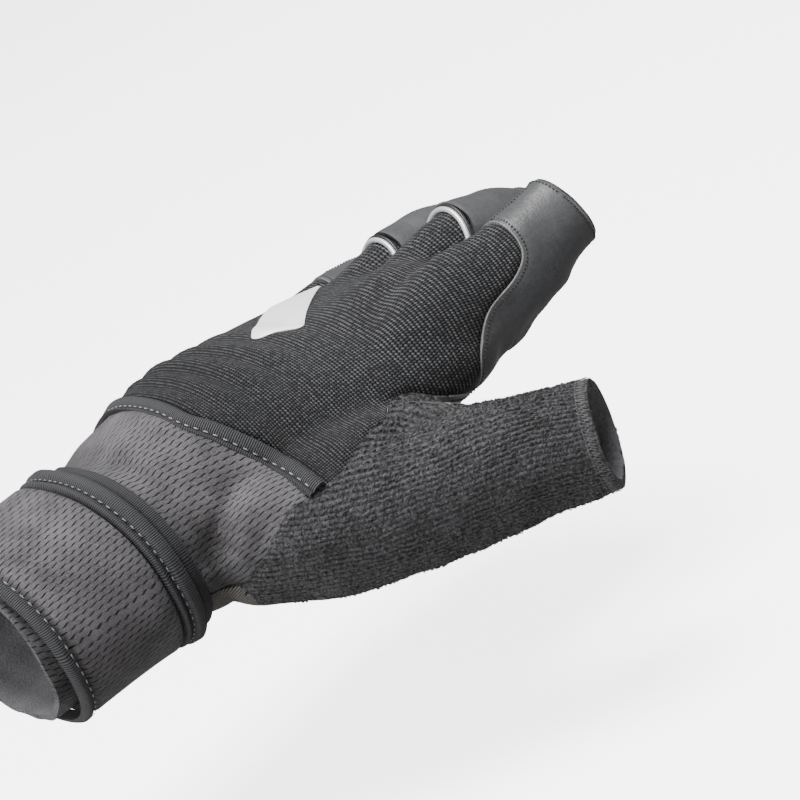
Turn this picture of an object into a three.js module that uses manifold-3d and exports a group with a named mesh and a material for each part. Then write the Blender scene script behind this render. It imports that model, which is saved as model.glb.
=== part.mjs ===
// Half-finger training glove for the left hand, in the form that it takes when worn, and hollow.
// X points from the wrist to the fingertips, Y to the little finger, Z out of the back of the hand.
// Lengths are in millimetres. The origin is the centre of the wrist opening.
import * as THREE from "three";
import { mergeVertices } from "three/addons/utils/BufferGeometryUtils.js";
import Module from "manifold-3d";

const wasm = await Module();
wasm.setup();

// Driving dimensions
const WALL = 1.8; // back fabric, mesh and leather with their lining
const TERRY_WALL = 2.4; // towelling round the thumb
const SEAM = 0.3; // clearance between neighbouring pieces
const STRAP = { edge: 50, width: 42, thick: 1.9, start: 60, turn: 600 }; // angles in degrees
const STRAP_TAPE = { near: 7.2, far: 4, thick: 2, crown: 0.4 };
const BACK_TAPE = { width: 5.6, thick: 1.3 };
const PIPING_RADIUS = 1;
const RIM_DROP = 6; // how far a tongue's sides lie behind its tip
const HEEL_EDGE = 48; // X where the palm side starts, under the strap's edge
const LEATHER_EDGE = 72; // X where the ribbed heel gives way to leather
const PATCH = { x: 127, y: 6, length: 50, width: 15, turn: 50, corner: 3, thick: 0.5 };
const BODY_SIDES = 28;
const FINGER_SIDES = 14;
const THUMB_SIDES = 15;
const FINGER_RINGS = 6;
const THUMB_RINGS = 9;
const STRAP_RINGS = 36;
const FLARE_SHAPE = 0.7; // how round a pull loop's mouth stands up
const FLARE_FADE = 0.16; // over what share of the finger the mouth narrows again
const FAR = 90; // reach of the cutting prisms

// The wrist and palm, as sections across X. lag holds the little finger's side back along X.
const BODY = [
  { x: 0, half: 31.0, top: 23.0, bottom: -22.5, lag: 0 },
  { x: 30, half: 31.0, top: 23.0, bottom: -22.5, lag: 0 },
  { x: 48, half: 31.5, top: 24.5, bottom: -22.5, lag: 0 },
  { x: 60, half: 33.0, top: 28.0, bottom: -22.5, lag: 0 },
  { x: 72, half: 35.5, top: 30.5, bottom: -22.0, lag: 0 },
  { x: 84, half: 38.5, top: 31.2, bottom: -21.5, lag: 0 },
  { x: 98, half: 42.0, top: 30.0, bottom: -20.5, lag: 0 },
  { x: 114, half: 44.5, top: 28.0, bottom: -19.0, lag: 1 },
  { x: 132, half: 45.5, top: 25.0, bottom: -17.0, lag: 4 },
  { x: 146, half: 45.0, top: 22.5, bottom: -15.0, lag: 8 },
  { x: 154, half: 43.0, top: 18.0, bottom: -10.0, lag: 12 },
];
const BODY_STATIONS = [0, 22, 38, 50, 58, 66, 71, 75, 79, 83, 87, 91, 95, 99, 104, 114, 126, 138, 148, 154];
const BODY_SQUARENESS = 2.35;

// Folds of the back fabric where it gathers at the wrist: a ridge across the back, slanting along X.
const FOLDS = [
  { x: 78, rise: 1.5, width: 3.4, slant: 6, towards: 95 },
  { x: 89, rise: 1.7, width: 3.6, slant: 8, towards: 100 },
  { x: 100, rise: 1.0, width: 4.2, slant: 9, towards: 105 },
];

// The fingers: centre line from root to hem, half width and half height along it,
// archX where the back fabric's tongue ends, foldX where the palm's leather meets the finger's own,
// and flare, how far a pull loop's mouth stands off the fabric.
const FINGERS = [
  {
    name: "index",
    line: [[120, -31.5, 3.5], [152, -33.5, 5.5], [176, -35.3, 11], [197, -37, 17.3]],
    halfWidth: [10.6, 10.6, 11.2, 11.2],
    halfHeight: [15.5, 15, 13.5, 12.3],
    archX: 175, foldX: 162, flare: 0, from: -FAR, to: -22.6,
  },
  {
    name: "middle",
    line: [[120, -10.4, 8], [152, -11.2, 12], [176, -11.5, 15], [200, -11.7, 11.5]],
    halfWidth: [10.6, 10.6, 10.7, 10.7],
    halfHeight: [13, 13.4, 12.6, 11.8],
    archX: 179, foldX: 162, flare: 2.6, from: -22.6, to: 0,
  },
  {
    name: "ring",
    line: [[120, 10.6, 7], [148, 11.1, 9.4], [168, 11.6, 11], [192, 12, 7.5]],
    halfWidth: [10.5, 10.5, 10.5, 10.4],
    halfHeight: [13, 13, 12, 11],
    archX: 169, foldX: 158, flare: 2.6, from: 0, to: 22.4,
  },
  {
    name: "little",
    line: [[112, 30, 6], [140, 31.6, 7], [157, 33.2, 7.6], [176, 35, 4.4]],
    halfWidth: [9.6, 9.8, 9.6, 9.4],
    halfHeight: [11.5, 11.6, 10.8, 10],
    archX: 156, foldX: 150, flare: 0, from: 22.4, to: FAR,
  },
];

// The thumb, from the ball of the thumb to its hem: a centre line with a half width and half height.
const THUMB = [
  { at: [56, -16, -4], width: 11, height: 12 },
  { at: [70, -28, -10], width: 15, height: 18.5 },
  { at: [86, -41, -14.5], width: 16.5, height: 20 },
  { at: [104, -54, -18], width: 15.8, height: 18.5 },
  { at: [121, -66, -18.5], width: 15, height: 18.5 },
  { at: [134.5, -74.5, -20.6], width: 14.8, height: 16.3 },
  { at: [147, -85.3, -22], width: 14.9, height: 15 },
];
// The web of skin between the thumb and the palm.
const WEB = [
  { at: [76, -34, -3], width: 8, height: 11 },
  { at: [96, -43, -3], width: 10, height: 12 },
  { at: [114, -49, -4.5], width: 10, height: 11.5 },
  { at: [132, -53.5, -11.5], width: 8.5, height: 9 },
];

// Seams, as X and Z of a line that is cut across Y.
const CUFF_EDGE_THUMB_SIDE = [[72.5, 60], [72.5, 31], [73, 27.7], [76.7, 20.7], [82.8, 9.5], [83.5, 1]];
const CUFF_EDGE_HEEL = [[83.5, 1], [78.2, 0.3], [72, -1.5], [65.5, -6.8], [62.3, -10.3], [57.2, -15.4]];
const CUFF_EDGE_LITTLE_SIDE = [[72.5, 60], [72.5, 31], [69, 18], [64, 5], [58, -8], [54, -15.4]];
const THUMB_TOP_SEAM = [
  [50, 0.8], [83, 0.8], [92.8, 2.4], [100, 4.5], [109, 5.6], [116, 5.6], [122.5, 4.2], [130, -2], [143, -10],
];
const INDEX_SEAM = [
  [144, -9], [145.8, -3.8], [148.3, 1.1], [155.6, 8.8], [167, 12.4], [173.3, 17], [175, 25],
];
const INDEX_TAIL = [[132, -11], [147, -10.5], [154, -9.5], [159, -7], [162, -3]];
// Seam on the palm side between towelling and leather, as X and Y of a line that is cut along Z.
const THUMB_PALM_SEAM = [
  [52, -26], [60, -30], [70, -37], [82, -45], [96, -50], [112, -52], [132, -52], [172, -52],
];

// How far the strap is shifted along X, by the angle from its start.
const STRAP_COURSE = [
  { x: 0, shift: -4 },
  { x: 60, shift: -3 },
  { x: 120, shift: -1 },
  { x: 190, shift: 0 },
  { x: 350, shift: -10 },
  { x: 420, shift: -9.8 },
  { x: 480, shift: -7.3 },
  { x: 550, shift: -5 },
  { x: 600, shift: -4.5 },
];

const smooth = (t) => t * t * (3 - 2 * t);
const clamp01 = (t) => Math.min(1, Math.max(0, t));
const radians = THREE.MathUtils.degToRad;
const v2 = (x, y) => new THREE.Vector2(x, y);

// A column of a table, read off a smooth curve through its rows.
function column(rows, key, x) {
  let i = 0;
  while (i < rows.length - 2 && x > rows[i + 1].x) i++;
  const [a, b] = [rows[i], rows[i + 1]];
  const before = rows[Math.max(0, i - 1)];
  const after = rows[Math.min(rows.length - 1, i + 2)];
  const span = b.x - a.x;
  const slopeA = ((b[key] - before[key]) / (b.x - before.x)) * span;
  const slopeB = ((after[key] - a[key]) / (after.x - a.x)) * span;
  const t = clamp01((x - a.x) / span);
  const [t2, t3] = [t * t, t * t * t];
  return (
    (2 * t3 - 3 * t2 + 1) * a[key] + (t3 - 2 * t2 + t) * slopeA +
    (3 * t2 - 2 * t3) * b[key] + (t3 - t2) * slopeB
  );
}

// Height of the gathered folds at X and at an angle round the wrist, where 90 degrees is the back.
function foldRise(x, degrees) {
  return FOLDS.reduce((sum, fold) => {
    const crest = fold.x + fold.slant * ((degrees - 90) / 90);
    const along = (x - crest) / fold.width;
    const reach = smooth(clamp01((fold.towards - Math.abs(degrees - 100)) / 45));
    return sum + fold.rise * Math.exp(-along * along) * reach;
  }, 0);
}

// A point on the wrist or palm at X and at an angle, where 0 is the little finger's side. out is
// the distance outside the surface, and fold the height of a fold there.
function bodyPoint(x, degrees, out, fold = 0) {
  const [c, s] = [Math.cos(radians(degrees)), Math.sin(radians(degrees))];
  const across = Math.sign(c) * Math.abs(c) ** (2 / BODY_SQUARENESS);
  const edge = s > 0 ? column(BODY, "top", x) + out + fold : column(BODY, "bottom", x) - out;
  const lag = column(BODY, "lag", x) * Math.max(0, across) ** 2;
  return new THREE.Vector3(
    x - lag,
    (column(BODY, "half", x) + out) * across,
    edge * Math.abs(s) ** (2 / BODY_SQUARENESS),
  );
}

// A smooth line through points.
const centreLine = (points) =>
  new THREE.CatmullRomCurve3(points.map((p) => new THREE.Vector3(...p)), false, "centripetal");

// A finger or thumb round a centre line: gives the point at t, from 0 to 1, and at an angle.
function tube(points, widths, heights) {
  const line = centreLine(points);
  const spans = points.length - 1;
  const read = (values, t) => {
    const i = Math.min(spans - 1, Math.floor(t * spans));
    return THREE.MathUtils.lerp(values[i], values[i + 1], smooth(t * spans - i));
  };
  return (t, degrees, out) => {
    const on = clamp01(t);
    const ahead = line.getTangent(on);
    const side = new THREE.Vector3(0, 0, 1).cross(ahead).normalize();
    const up = ahead.clone().cross(side);
    return line
      .getPoint(on)
      .addScaledVector(ahead, (t - on) * line.getLength())
      .addScaledVector(side, (read(widths, on) + out) * Math.cos(radians(degrees)))
      .addScaledVector(up, (read(heights, on) + out) * Math.sin(radians(degrees)));
  };
}
const fingerTube = (finger) => tube(finger.line, finger.halfWidth, finger.halfHeight);
const limbTube = (rows) =>
  tube(...["at", "width", "height"].map((key) => rows.map((row) => row[key])));

// A closed mesh through rings of points that turn anticlockwise seen from ahead, with flat ends.
function loft(rings) {
  const sides = rings[0].length;
  const centre = (ring) => ring.reduce((sum, p) => sum.add(p), new THREE.Vector3()).divideScalar(sides);
  const points = [...rings.flat(), centre(rings[0]), centre(rings[rings.length - 1])];
  const first = rings.length * sides;
  const top = first - sides;
  const index = [];
  for (let i = 0; i < sides; i++) {
    const next = (i + 1) % sides;
    for (let k = 0; k < top; k += sides) index.push(k + i, k + next, k + next + sides);
    for (let k = 0; k < top; k += sides) index.push(k + i, k + next + sides, k + i + sides);
    index.push(first, next, i, first + 1, top + i, top + next);
  }
  return new THREE.BufferGeometry().setFromPoints(points).setIndex(index);
}
const ringOf = (sides, point) => Array.from({ length: sides }, (_, i) => point((i * 360) / sides));
const steps = (count, from, to) =>
  Array.from({ length: count + 1 }, (_, k) => from + ((to - from) * k) / count);

// A three.js geometry as a solid that can be joined and cut.
function solid(geometry) {
  const bare = geometry.clone();
  for (const name of ["normal", "uv"]) bare.deleteAttribute(name);
  const merged = mergeVertices(bare, 1e-4);
  return new wasm.Manifold(
    new wasm.Mesh({
      numProp: 3,
      vertProperties: merged.attributes.position.array,
      triVerts: new Uint32Array(merged.index.array),
    }),
  );
}
const join = (shapes) => shapes.reduce((a, b) => a.add(b));

// A solid as a named mesh. Only its largest body stays, without the crumbs of a cut along a facet.
function meshOf(name, shape, material) {
  const cut = shape.decompose().reduce((a, b) => (a.volume() > b.volume() ? a : b)).getMesh();
  const geometry = new THREE.BufferGeometry()
    .setAttribute("position", new THREE.BufferAttribute(cut.vertProperties, 3))
    .setIndex(new THREE.BufferAttribute(cut.triVerts, 1));
  geometry.computeVertexNormals();
  const mesh = new THREE.Mesh(geometry, material);
  mesh.name = name;
  return mesh;
}

// The hand's parts as solids, grown by out, or shrunk where out is below 0.
function bodySolid(out) {
  const last = BODY_STATIONS[BODY_STATIONS.length - 1];
  const stations = out ? [-6, ...BODY_STATIONS.slice(1, -1), last + out] : BODY_STATIONS;
  const ring = (x) =>
    ringOf(BODY_SIDES, (degrees) => bodyPoint(x, degrees, out, foldRise(x, degrees)));
  return solid(loft(stations.map(ring)));
}
function fingerSolid(finger, out, flare = 0) {
  const point = fingerTube(finger);
  const mouth = tOf(finger, finger.archX);
  const raised = (degrees) => Math.max(0, Math.sin(radians(degrees))) ** FLARE_SHAPE;
  const opened = (t) => smooth(clamp01((mouth + FLARE_FADE - t) / FLARE_FADE));
  const ring = (t) =>
    ringOf(FINGER_SIDES, (degrees) => point(t, degrees, out + flare * raised(degrees) * opened(t)));
  const reach = out < 0 ? [0.02, 1.12] : [0, 1];
  return solid(loft(steps(FINGER_RINGS, ...reach).map(ring)));
}
function limbSolid(rows, out, reach = [0, 1]) {
  const point = limbTube(rows);
  const ring = (t) => ringOf(THUMB_SIDES, (degrees) => point(t, degrees, out));
  return solid(loft(steps(THUMB_RINGS, ...reach).map(ring)));
}

// Where along a finger's centre line it passes X.
function tOf(finger, x) {
  const line = centreLine(finger.line);
  let [low, high] = [0, 1];
  for (let i = 0; i < 20; i++) {
    const middle = (low + high) / 2;
    if (line.getPoint(middle).x < x) low = middle;
    else high = middle;
  }
  return low;
}

const smoothLine = (points, count = 9) =>
  new THREE.SplineCurve(points.map((p) => v2(...p))).getPoints(count);
const shift = (points, dx, dy) => points.map((p) => v2(p.x + dx, p.y + dy));

const prism = (outline, depth) =>
  new THREE.ExtrudeGeometry(new THREE.Shape(outline), { depth, bevelEnabled: false });

// A prism over an outline of X and Z points, between two values of Y.
const prismAcrossY = (outline, from, to) =>
  solid(prism(outline, to - from).rotateX(Math.PI / 2).translate(0, to, 0));

// A prism over an outline of X and Y points, all the way along Z.
const prismAlongZ = (outline) => solid(prism(outline, 2 * FAR).translate(0, 0, -FAR));

const block = (x0, x1, z0, z1, from, to) =>
  prismAcrossY([v2(x0, z0), v2(x1, z0), v2(x1, z1), v2(x0, z1)], from, to);

// Zones of the wall that each piece is cut from. grow widens a zone, so that its neighbour keeps clear.
function cuffZone(grow) {
  const thumbSide = [...smoothLine(CUFF_EDGE_THUMB_SIDE), ...smoothLine(CUFF_EDGE_HEEL).slice(1)];
  const littleSide = smoothLine(CUFF_EDGE_LITTLE_SIDE);
  const close = [v2(HEEL_EDGE + grow, -15.4), v2(HEEL_EDGE + grow, -60), v2(-20, -60), v2(-20, 60)];
  return join([
    prismAcrossY([...shift(thumbSide, grow, 0), ...close], -FAR, 0.01),
    prismAcrossY([...shift(littleSide, grow, 0), ...close], 0, FAR),
  ]);
}
function thumbZone(grow) {
  const top = [...smoothLine(THUMB_TOP_SEAM, 13).filter((p) => p.x < 130), v2(133, 4), v2(172, 4)];
  const palm = smoothLine(THUMB_PALM_SEAM, 8);
  const below = prismAcrossY([...shift(top, 0, grow), v2(172, -60), v2(50, -60)], -130, 0);
  return below.intersect(prismAlongZ([...shift(palm, 0, grow), v2(172, -130), v2(52, -130)]));
}

// A tongue's edge on a finger, from its side to its tip. rise runs from 0 to 1.
const rimX = (finger, rise) => finger.archX - RIM_DROP * (1 - rise) ** 1.3;
function tongueOutline(finger) {
  if (finger.name === "index") {
    const top = smoothLine(THUMB_TOP_SEAM, 13).filter((p) => p.x < 143);
    return [...top, ...smoothLine(INDEX_SEAM), v2(finger.archX, 60), v2(40, 60)];
  }
  const [root, , middle] = finger.line.map((p) => p[2]);
  const rim = steps(6, 0, 1).map((rise) => v2(rimX(finger, rise), middle + 12 * rise - 1));
  const side = [v2(40, 3), v2(130, 3), v2(146, (root + middle) / 2)];
  return [...side, ...rim, v2(finger.archX, 60), v2(40, 60)];
}
const backZone = (grow) =>
  join(FINGERS.map((f) => prismAcrossY(widened(tongueOutline(f), grow), f.from, f.to + 0.01)));
const widened = (outline, grow) => shift(outline, 0.8 * grow, -1.4 * grow);
function wrapZone(finger, grow) {
  const start = finger.foldX - grow;
  const tail = finger.name === "index" ? shift(smoothLine(INDEX_TAIL, 6), -grow, -grow) : [v2(start, 60)];
  const corner = finger.name === "index" ? [v2(132, 60)] : [];
  const outline = [...tail, v2(start, -60), v2(222, -60), v2(222, 60), ...corner];
  return prismAcrossY(outline, finger.from, finger.to);
}
const heelZone = (grow) => block(50, LEATHER_EDGE + grow, -60, 1, -FAR, FAR);

const handSolid = (out) =>
  join([
    bodySolid(out),
    ...FINGERS.map((f) => fingerSolid(f, out)),
    limbSolid(THUMB, out),
    limbSolid(WEB, out),
  ]);
const hollow = join([
  bodySolid(-WALL),
  ...FINGERS.map((f) => fingerSolid(f, -WALL)),
  limbSolid(THUMB, -TERRY_WALL, [0.02, 1.1]),
  limbSolid(WEB, -TERRY_WALL),
]);
const outer = handSolid(0);
const wall = outer.subtract(hollow);

const cuff = wall.intersect(cuffZone(0));
const openWall = wall.subtract(cuffZone(SEAM));
const thumb = openWall.intersect(thumbZone(0));
const handWall = openWall.subtract(thumbZone(SEAM));
const back = handWall.intersect(backZone(0));
const underside = handWall.subtract(backZone(SEAM));
const heel = underside.intersect(heelZone(0));
const palm = underside.subtract(heelZone(SEAM)).subtract(join(FINGERS.map((f) => wrapZone(f, SEAM))));

// A finger's leather, which stands off the tongue where it forms a pull loop's mouth.
function wrapPiece(finger) {
  if (!finger.flare) return underside.intersect(wrapZone(finger, 0));
  return fingerSolid(finger, 0, finger.flare)
    .subtract(fingerSolid(finger, -WALL, finger.flare))
    .intersect(wrapZone(finger, 0))
    .subtract(backZone(SEAM))
    .subtract(bodySolid(SEAM));
}

// The piping along a pull loop's mouth.
function piping(finger) {
  const point = fingerTube(finger);
  const path = steps(8, 30, 150).map((degrees) => {
    const x = rimX(finger, Math.sin(radians(degrees))) - 1.6 * SEAM - PIPING_RADIUS;
    return point(tOf(finger, x), degrees, finger.flare - WALL / 2);
  });
  const spoke = (degrees) => v2(Math.cos(radians(degrees)), Math.sin(radians(degrees)));
  const circle = new THREE.Shape(ringOf(8, (degrees) => spoke(degrees).multiplyScalar(PIPING_RADIUS)));
  const extrudePath = new THREE.CatmullRomCurve3(path);
  return solid(new THREE.ExtrudeGeometry(circle, { steps: 10, bevelEnabled: false, extrudePath }));
}

// The tape over the edge of the cuff, on the back and down both sides.
function backTape() {
  const layer = handSolid(SEAM + BACK_TAPE.thick).subtract(handSolid(SEAM));
  const strip = cuffZone(-SEAM).subtract(cuffZone(-SEAM - BACK_TAPE.width));
  return layer
    .intersect(strip)
    .subtract(block(0, 120, -60, 1 + SEAM, -FAR, 0))
    .subtract(block(0, 120, -60, -6, 0, FAR));
}

// The plain patch on the back of the hand.
function backPatch() {
  const { x, y, length, width, turn, corner, thick } = PATCH;
  const [a, b] = [width / 2 - corner, length / 2 - corner];
  const outline = ringOf(16, (degrees) => {
    const [c, s] = [Math.cos(radians(degrees + 11.25)), Math.sin(radians(degrees + 11.25))];
    const square = v2(Math.sign(c) * b + corner * c, Math.sign(s) * a + corner * s);
    return square.rotateAround(v2(0, 0), radians(turn)).add(v2(x, y));
  });
  const layer = handSolid(SEAM + thick).subtract(handSolid(SEAM));
  return layer.intersect(prismAlongZ(outline)).intersect(block(60, 180, 0, 60, -FAR, FAR));
}

// A band round the wrist that winds on over its own start, as a wrap closure does. from and to are
// the X of its edges on the first turn.
function wristBand({ from, to, thick, crown = 0 }) {
  const rings = steps(STRAP_RINGS, 0, STRAP.turn).map((turned) => {
    const lap = smooth(clamp01((turned - 318) / 40)) * (STRAP_TAPE.thick + STRAP_TAPE.crown + SEAM);
    const along = column(STRAP_COURSE, "shift", turned);
    const point = (x, out) => bodyPoint(x + along, (STRAP.start + turned) % 360, 2 * SEAM + lap + out);
    const middle = (from + to) / 2;
    const inner = [point(from, 0), point(to, 0)];
    return [...inner, point(to, thick), point(middle, thick + crown), point(from, thick)];
  });
  return solid(loft(rings));
}
const near = { from: STRAP.edge - STRAP_TAPE.near, to: STRAP.edge, ...STRAP_TAPE };
const far = { from: STRAP.edge - STRAP.width, to: STRAP.edge - STRAP.width + STRAP_TAPE.far, ...STRAP_TAPE };
const strap = { from: far.to + SEAM, to: near.from - SEAM, thick: STRAP.thick };

const material = (color, roughness, metalness = 0) =>
  new THREE.MeshStandardMaterial({ color, roughness, metalness, side: THREE.DoubleSide });
const backFabric = material(0x2c2d30, 0.85);
const towelling = material(0x3a3b3e, 0.98);
const leather = material(0x4b4c4e, 0.5);
const meshFabric = material(0x55525a, 0.9);
const ribbedTape = material(0x2b2c2e, 0.75);
const silver = material(0xc9cbcd, 0.35, 0.3);

const glove = new THREE.Group();
glove.add(meshOf("back_panel", back, backFabric));
glove.add(meshOf("thumb_stall", thumb, towelling));
glove.add(meshOf("palm_panel", palm, leather));
glove.add(meshOf("heel_rib", heel, ribbedTape));
for (const finger of FINGERS) glove.add(meshOf(`${finger.name}_wrap`, wrapPiece(finger), leather));
for (const finger of FINGERS.filter((f) => f.flare)) {
  glove.add(meshOf(`${finger.name}_pull`, piping(finger), silver));
}
glove.add(meshOf("cuff", cuff, meshFabric));
glove.add(meshOf("back_binding", backTape(), ribbedTape));
glove.add(meshOf("wrist_strap", wristBand(strap), meshFabric));
glove.add(meshOf("strap_binding", wristBand(near), ribbedTape));
glove.add(meshOf("strap_edge", wristBand(far), ribbedTape));
glove.add(meshOf("back_patch", backPatch(), silver));

export default glove;
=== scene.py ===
"""Dresses a half-finger training glove for the left hand: its cloth, towelling, leather, tapes and seams.

Lengths are in millimetres until a mesh is finished, and then in metres. X points from the wrist to the
fingertips, Y to the little finger and Z out of the back of the hand.
"""

import sys

import logging
from dataclasses import dataclass, field
from enum import Enum
from typing import Callable, Iterable, Optional, Sequence

import bmesh
import bpy
import numpy as np
from mathutils import Matrix, Vector, noise
from mathutils.bvhtree import BVHTree


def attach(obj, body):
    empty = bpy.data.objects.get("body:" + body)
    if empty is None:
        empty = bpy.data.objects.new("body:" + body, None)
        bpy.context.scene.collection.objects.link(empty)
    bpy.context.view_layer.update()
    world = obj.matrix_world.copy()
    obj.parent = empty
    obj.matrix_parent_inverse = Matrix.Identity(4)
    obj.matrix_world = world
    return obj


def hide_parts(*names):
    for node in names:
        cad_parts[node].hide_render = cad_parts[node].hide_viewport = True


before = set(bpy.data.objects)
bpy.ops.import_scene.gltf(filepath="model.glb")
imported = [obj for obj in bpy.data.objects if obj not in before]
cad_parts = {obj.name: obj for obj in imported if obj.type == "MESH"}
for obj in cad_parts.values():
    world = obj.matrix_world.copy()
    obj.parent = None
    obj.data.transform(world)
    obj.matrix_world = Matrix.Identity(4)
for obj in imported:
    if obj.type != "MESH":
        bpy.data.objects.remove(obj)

log = logging.getLogger("training_glove")

MM = 0.001
FAR = 90.0

Array = np.ndarray
Field = Callable[[Array], Array]
Place = Callable[[Array, Array], Array]
BM = bmesh.types.BMesh


# ---------------------------------------------------------------- sizes


@dataclass(frozen=True)
class Section:
    """One cross section of the wrist and palm. lag holds the little finger's side back along X."""

    x: float
    half: float
    top: float
    bottom: float
    lag: float


@dataclass(frozen=True)
class Fold:
    """A ridge of the back fabric where it gathers at the wrist."""

    x: float
    rise: float
    width: float
    slant: float
    towards: float


@dataclass(frozen=True)
class Mound:
    """A soft swelling of the back, centred at X and Y."""

    x: float
    y: float
    rise: float
    along: float
    across: float

    def at(self, x: Array, y: Array) -> Array:
        """Its height over the back."""
        return self.rise * np.exp(-(((x - self.x) / self.along) ** 2) - ((y - self.y) / self.across) ** 2)


@dataclass(frozen=True)
class Finger:
    """A finger's centre line from its root to its hem, with half widths and heights along it.

    arch_x is where the back fabric's tongue ends, fold_x where the palm's leather meets the finger's own,
    and flare is how far a pull loop's mouth stands off the fabric. low and high bound its band of Y.
    """

    name: str
    line: tuple[tuple[float, float, float], ...]
    widths: tuple[float, ...]
    heights: tuple[float, ...]
    arch_x: float
    fold_x: float
    flare: float
    low: float
    high: float


@dataclass(frozen=True)
class Sewing:
    """A kind of stitch: the distance between stitches, their length, half their width, how far they
    lie off the line and their angle from it in degrees."""

    pitch: float
    length: float
    radius: float
    lift: float = 0.0
    turn: float = 0.0


BODY = (
    Section(0, 31.0, 23.0, -22.5, 0),
    Section(30, 31.0, 23.0, -22.5, 0),
    Section(48, 31.7, 24.5, -24.4, 0),
    Section(58, 33.4, 27.6, -27.4, 0),
    Section(72, 35.5, 30.2, -26.4, 0),
    Section(84, 38.5, 30.7, -23.6, 0),
    Section(98, 42.0, 29.6, -20.8, 0),
    Section(114, 44.5, 28.0, -19.0, 1),
    Section(132, 45.5, 25.0, -17.0, 4),
    Section(146, 45.0, 22.5, -15.0, 8),
    Section(154, 43.5, 20.8, -12.0, 14),
    Section(161, 41.5, 18.5, -6.0, 22),
)
SQUARENESS = 2.35
KNUCKLE = Mound(149, -21, 7.2, 19, 13)

FOLDS = (
    Fold(75.0, 1.9, 1.9, 4, 92),
    Fold(81.2, 3.1, 2.2, 6, 95),
    Fold(89.8, 3.4, 2.8, 8, 100),
    Fold(99.6, 2.4, 3.2, 9, 105),
    Fold(109.5, 1.2, 3.6, 10, 100),
)

FINGERS = (
    Finger("index", ((120, -31.5, 3.5), (154, -33.5, 8.8), (176, -35.5, 11.3), (197, -37.8, 17.3)),
           (10.6, 11.2, 11.0, 10.5), (15.5, 18.2, 14.5, 11.9), 175, 162, 0, -FAR, -22.6),
    Finger("middle",
           ((120, -10.4, 8), (152, -11.2, 12), (175, -11.5, 15), (188, -11.6, 14.2), (200, -11.7, 9.6)),
           (10.6, 10.6, 10.7, 10.7, 10.7), (13, 13.4, 13, 12.9, 11.4), 179, 162, 1.6, -22.6, 0),
    Finger("ring", ((120, 10.6, 7), (148, 11.1, 9.4), (167, 11.6, 12), (180, 11.8, 12.4), (192, 12, 10)),
           (10.5, 10.5, 10.5, 10.5, 10.4), (13, 13, 12.8, 12.9, 11.8), 169, 158, 1.1, 0, 22.4),
    Finger("little", ((112, 30, 6), (140, 31.6, 7), (157, 33.2, 7.6), (176, 35, 4.4)),
           (9.6, 9.8, 9.6, 9.4), (11.5, 11.6, 10.8, 10), 156, 150, 0, 22.4, FAR),
)

CLOSED_FINGERS = tuple(finger for finger in FINGERS if not finger.flare)
PULL_FINGERS = tuple(finger for finger in FINGERS if finger.flare)

# Rows of X, Y, Z, half width and half height.
THUMB = ((56, -16, -4, 11, 12), (70, -28, -10, 15, 18.5), (86, -41, -14.5, 16.5, 20),
         (104, -54, -18, 15.8, 18.5), (121, -66, -18.5, 15, 18.5), (134.5, -74.5, -20.6, 14.8, 16.3),
         (147, -85.3, -22, 14.9, 15))
WEB = ((76, -34, -3, 8, 11), (96, -43, -3, 10, 12), (113, -48, -5.5, 9.6, 11), (129, -52, -13.5, 8, 8.5))

# Seams as X and Z, cut across Y, and the last as X and Y, cut along Z.
CUFF_EDGE_THUMB = ((72.5, 60), (72.5, 31), (73, 27.7), (76.7, 20.7), (82.8, 9.5), (83.5, 1))
CUFF_EDGE_HEEL = ((83.5, 1), (78.2, 0.3), (72, -1.5), (65.5, -6.8), (62.3, -10.3), (57.2, -15.4))
CUFF_EDGE_LITTLE = ((72.5, 60), (72.5, 31), (69, 18), (64, 5), (58, -8), (54, -15.4))
THUMB_TOP_SEAM = ((50, 0.8), (83, 0.8), (92.8, 2.4), (100, 4.5), (109, 5.6), (116, 5.6), (122.5, 4.2),
                  (130, -2), (143, -10))
INDEX_SEAM = ((144, -9), (145.8, -3.8), (148.3, 1.1), (155.6, 8.8), (167, 12.4), (173.3, 17), (175, 25))
INDEX_TAIL = ((132, -11), (147, -10.5), (154, -9.5), (159, -7), (162, -3))
THUMB_PALM_SEAM = ((52, -26), (60, -30), (70, -37), (82, -45), (96, -50), (112, -52), (132, -52), (172, -52))
HEEL_EDGE = 48.0
SIDE_SEAMS = {"index": 78.0, "little": 78.0}
HEEL_SHOWS = 56.6
HEM_LEAN = (-0.04, -0.085, 0.034)
LEATHER_EDGE = 72.0
RIM_DROP = 6.0

# How far the strap is moved along X, by the angle from its start.
STRAP_COURSE = ((0, -4), (60, -3), (120, -1), (190, 0), (350, -8), (420, -7.6), (480, -5.2), (550, -3.2),
                (600, -2.8))
STRAP_START = 60.0
STRAP_TURN = 600.0
STRAP_CLEAR = 0.6

RAW_EDGE_SEWING = Sewing(1.1, 0.78, 0.38)
HEM_SEWING = Sewing(1.3, 1.0, 0.3, -0.12)
SIDE_SEWING = Sewing(1.15, 0.8, 0.4)
PULL_HEM_SEWING = Sewing(1.3, 0.95, 0.32)
STRAP_SEWING = Sewing(2.9, 1.5, 0.2)
BACK_SEWING = Sewing(2.9, 1.5, 0.24)
# The thumb's overlock: how far inside the hem each row runs, and its stitches.
OVERLOCK_ROWS = (
    (3.2, Sewing(1.1, 1.2, 0.1, 0.45, 20)),
    (1.7, Sewing(0.8, 2.6, 0.07, 0.42, 62)),
    (1.8, Sewing(1.35, 2.4, 0.07, 0.48, 118)),
)

WALL = 1.8
TERRY_WALL = 2.4
PULL_WALL = 1.2
OPENING_REACH = 24.0
HEM_NEAR = 0.5
SHARP = float(np.radians(50.0))
# Mean radii, which turn angles into lengths of cloth.
WRIST_RADIUS = 29.0
THUMB_RADIUS = 17.0
FINGER_RADIUS = 11.0


# ---------------------------------------------------------------- curves


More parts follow.
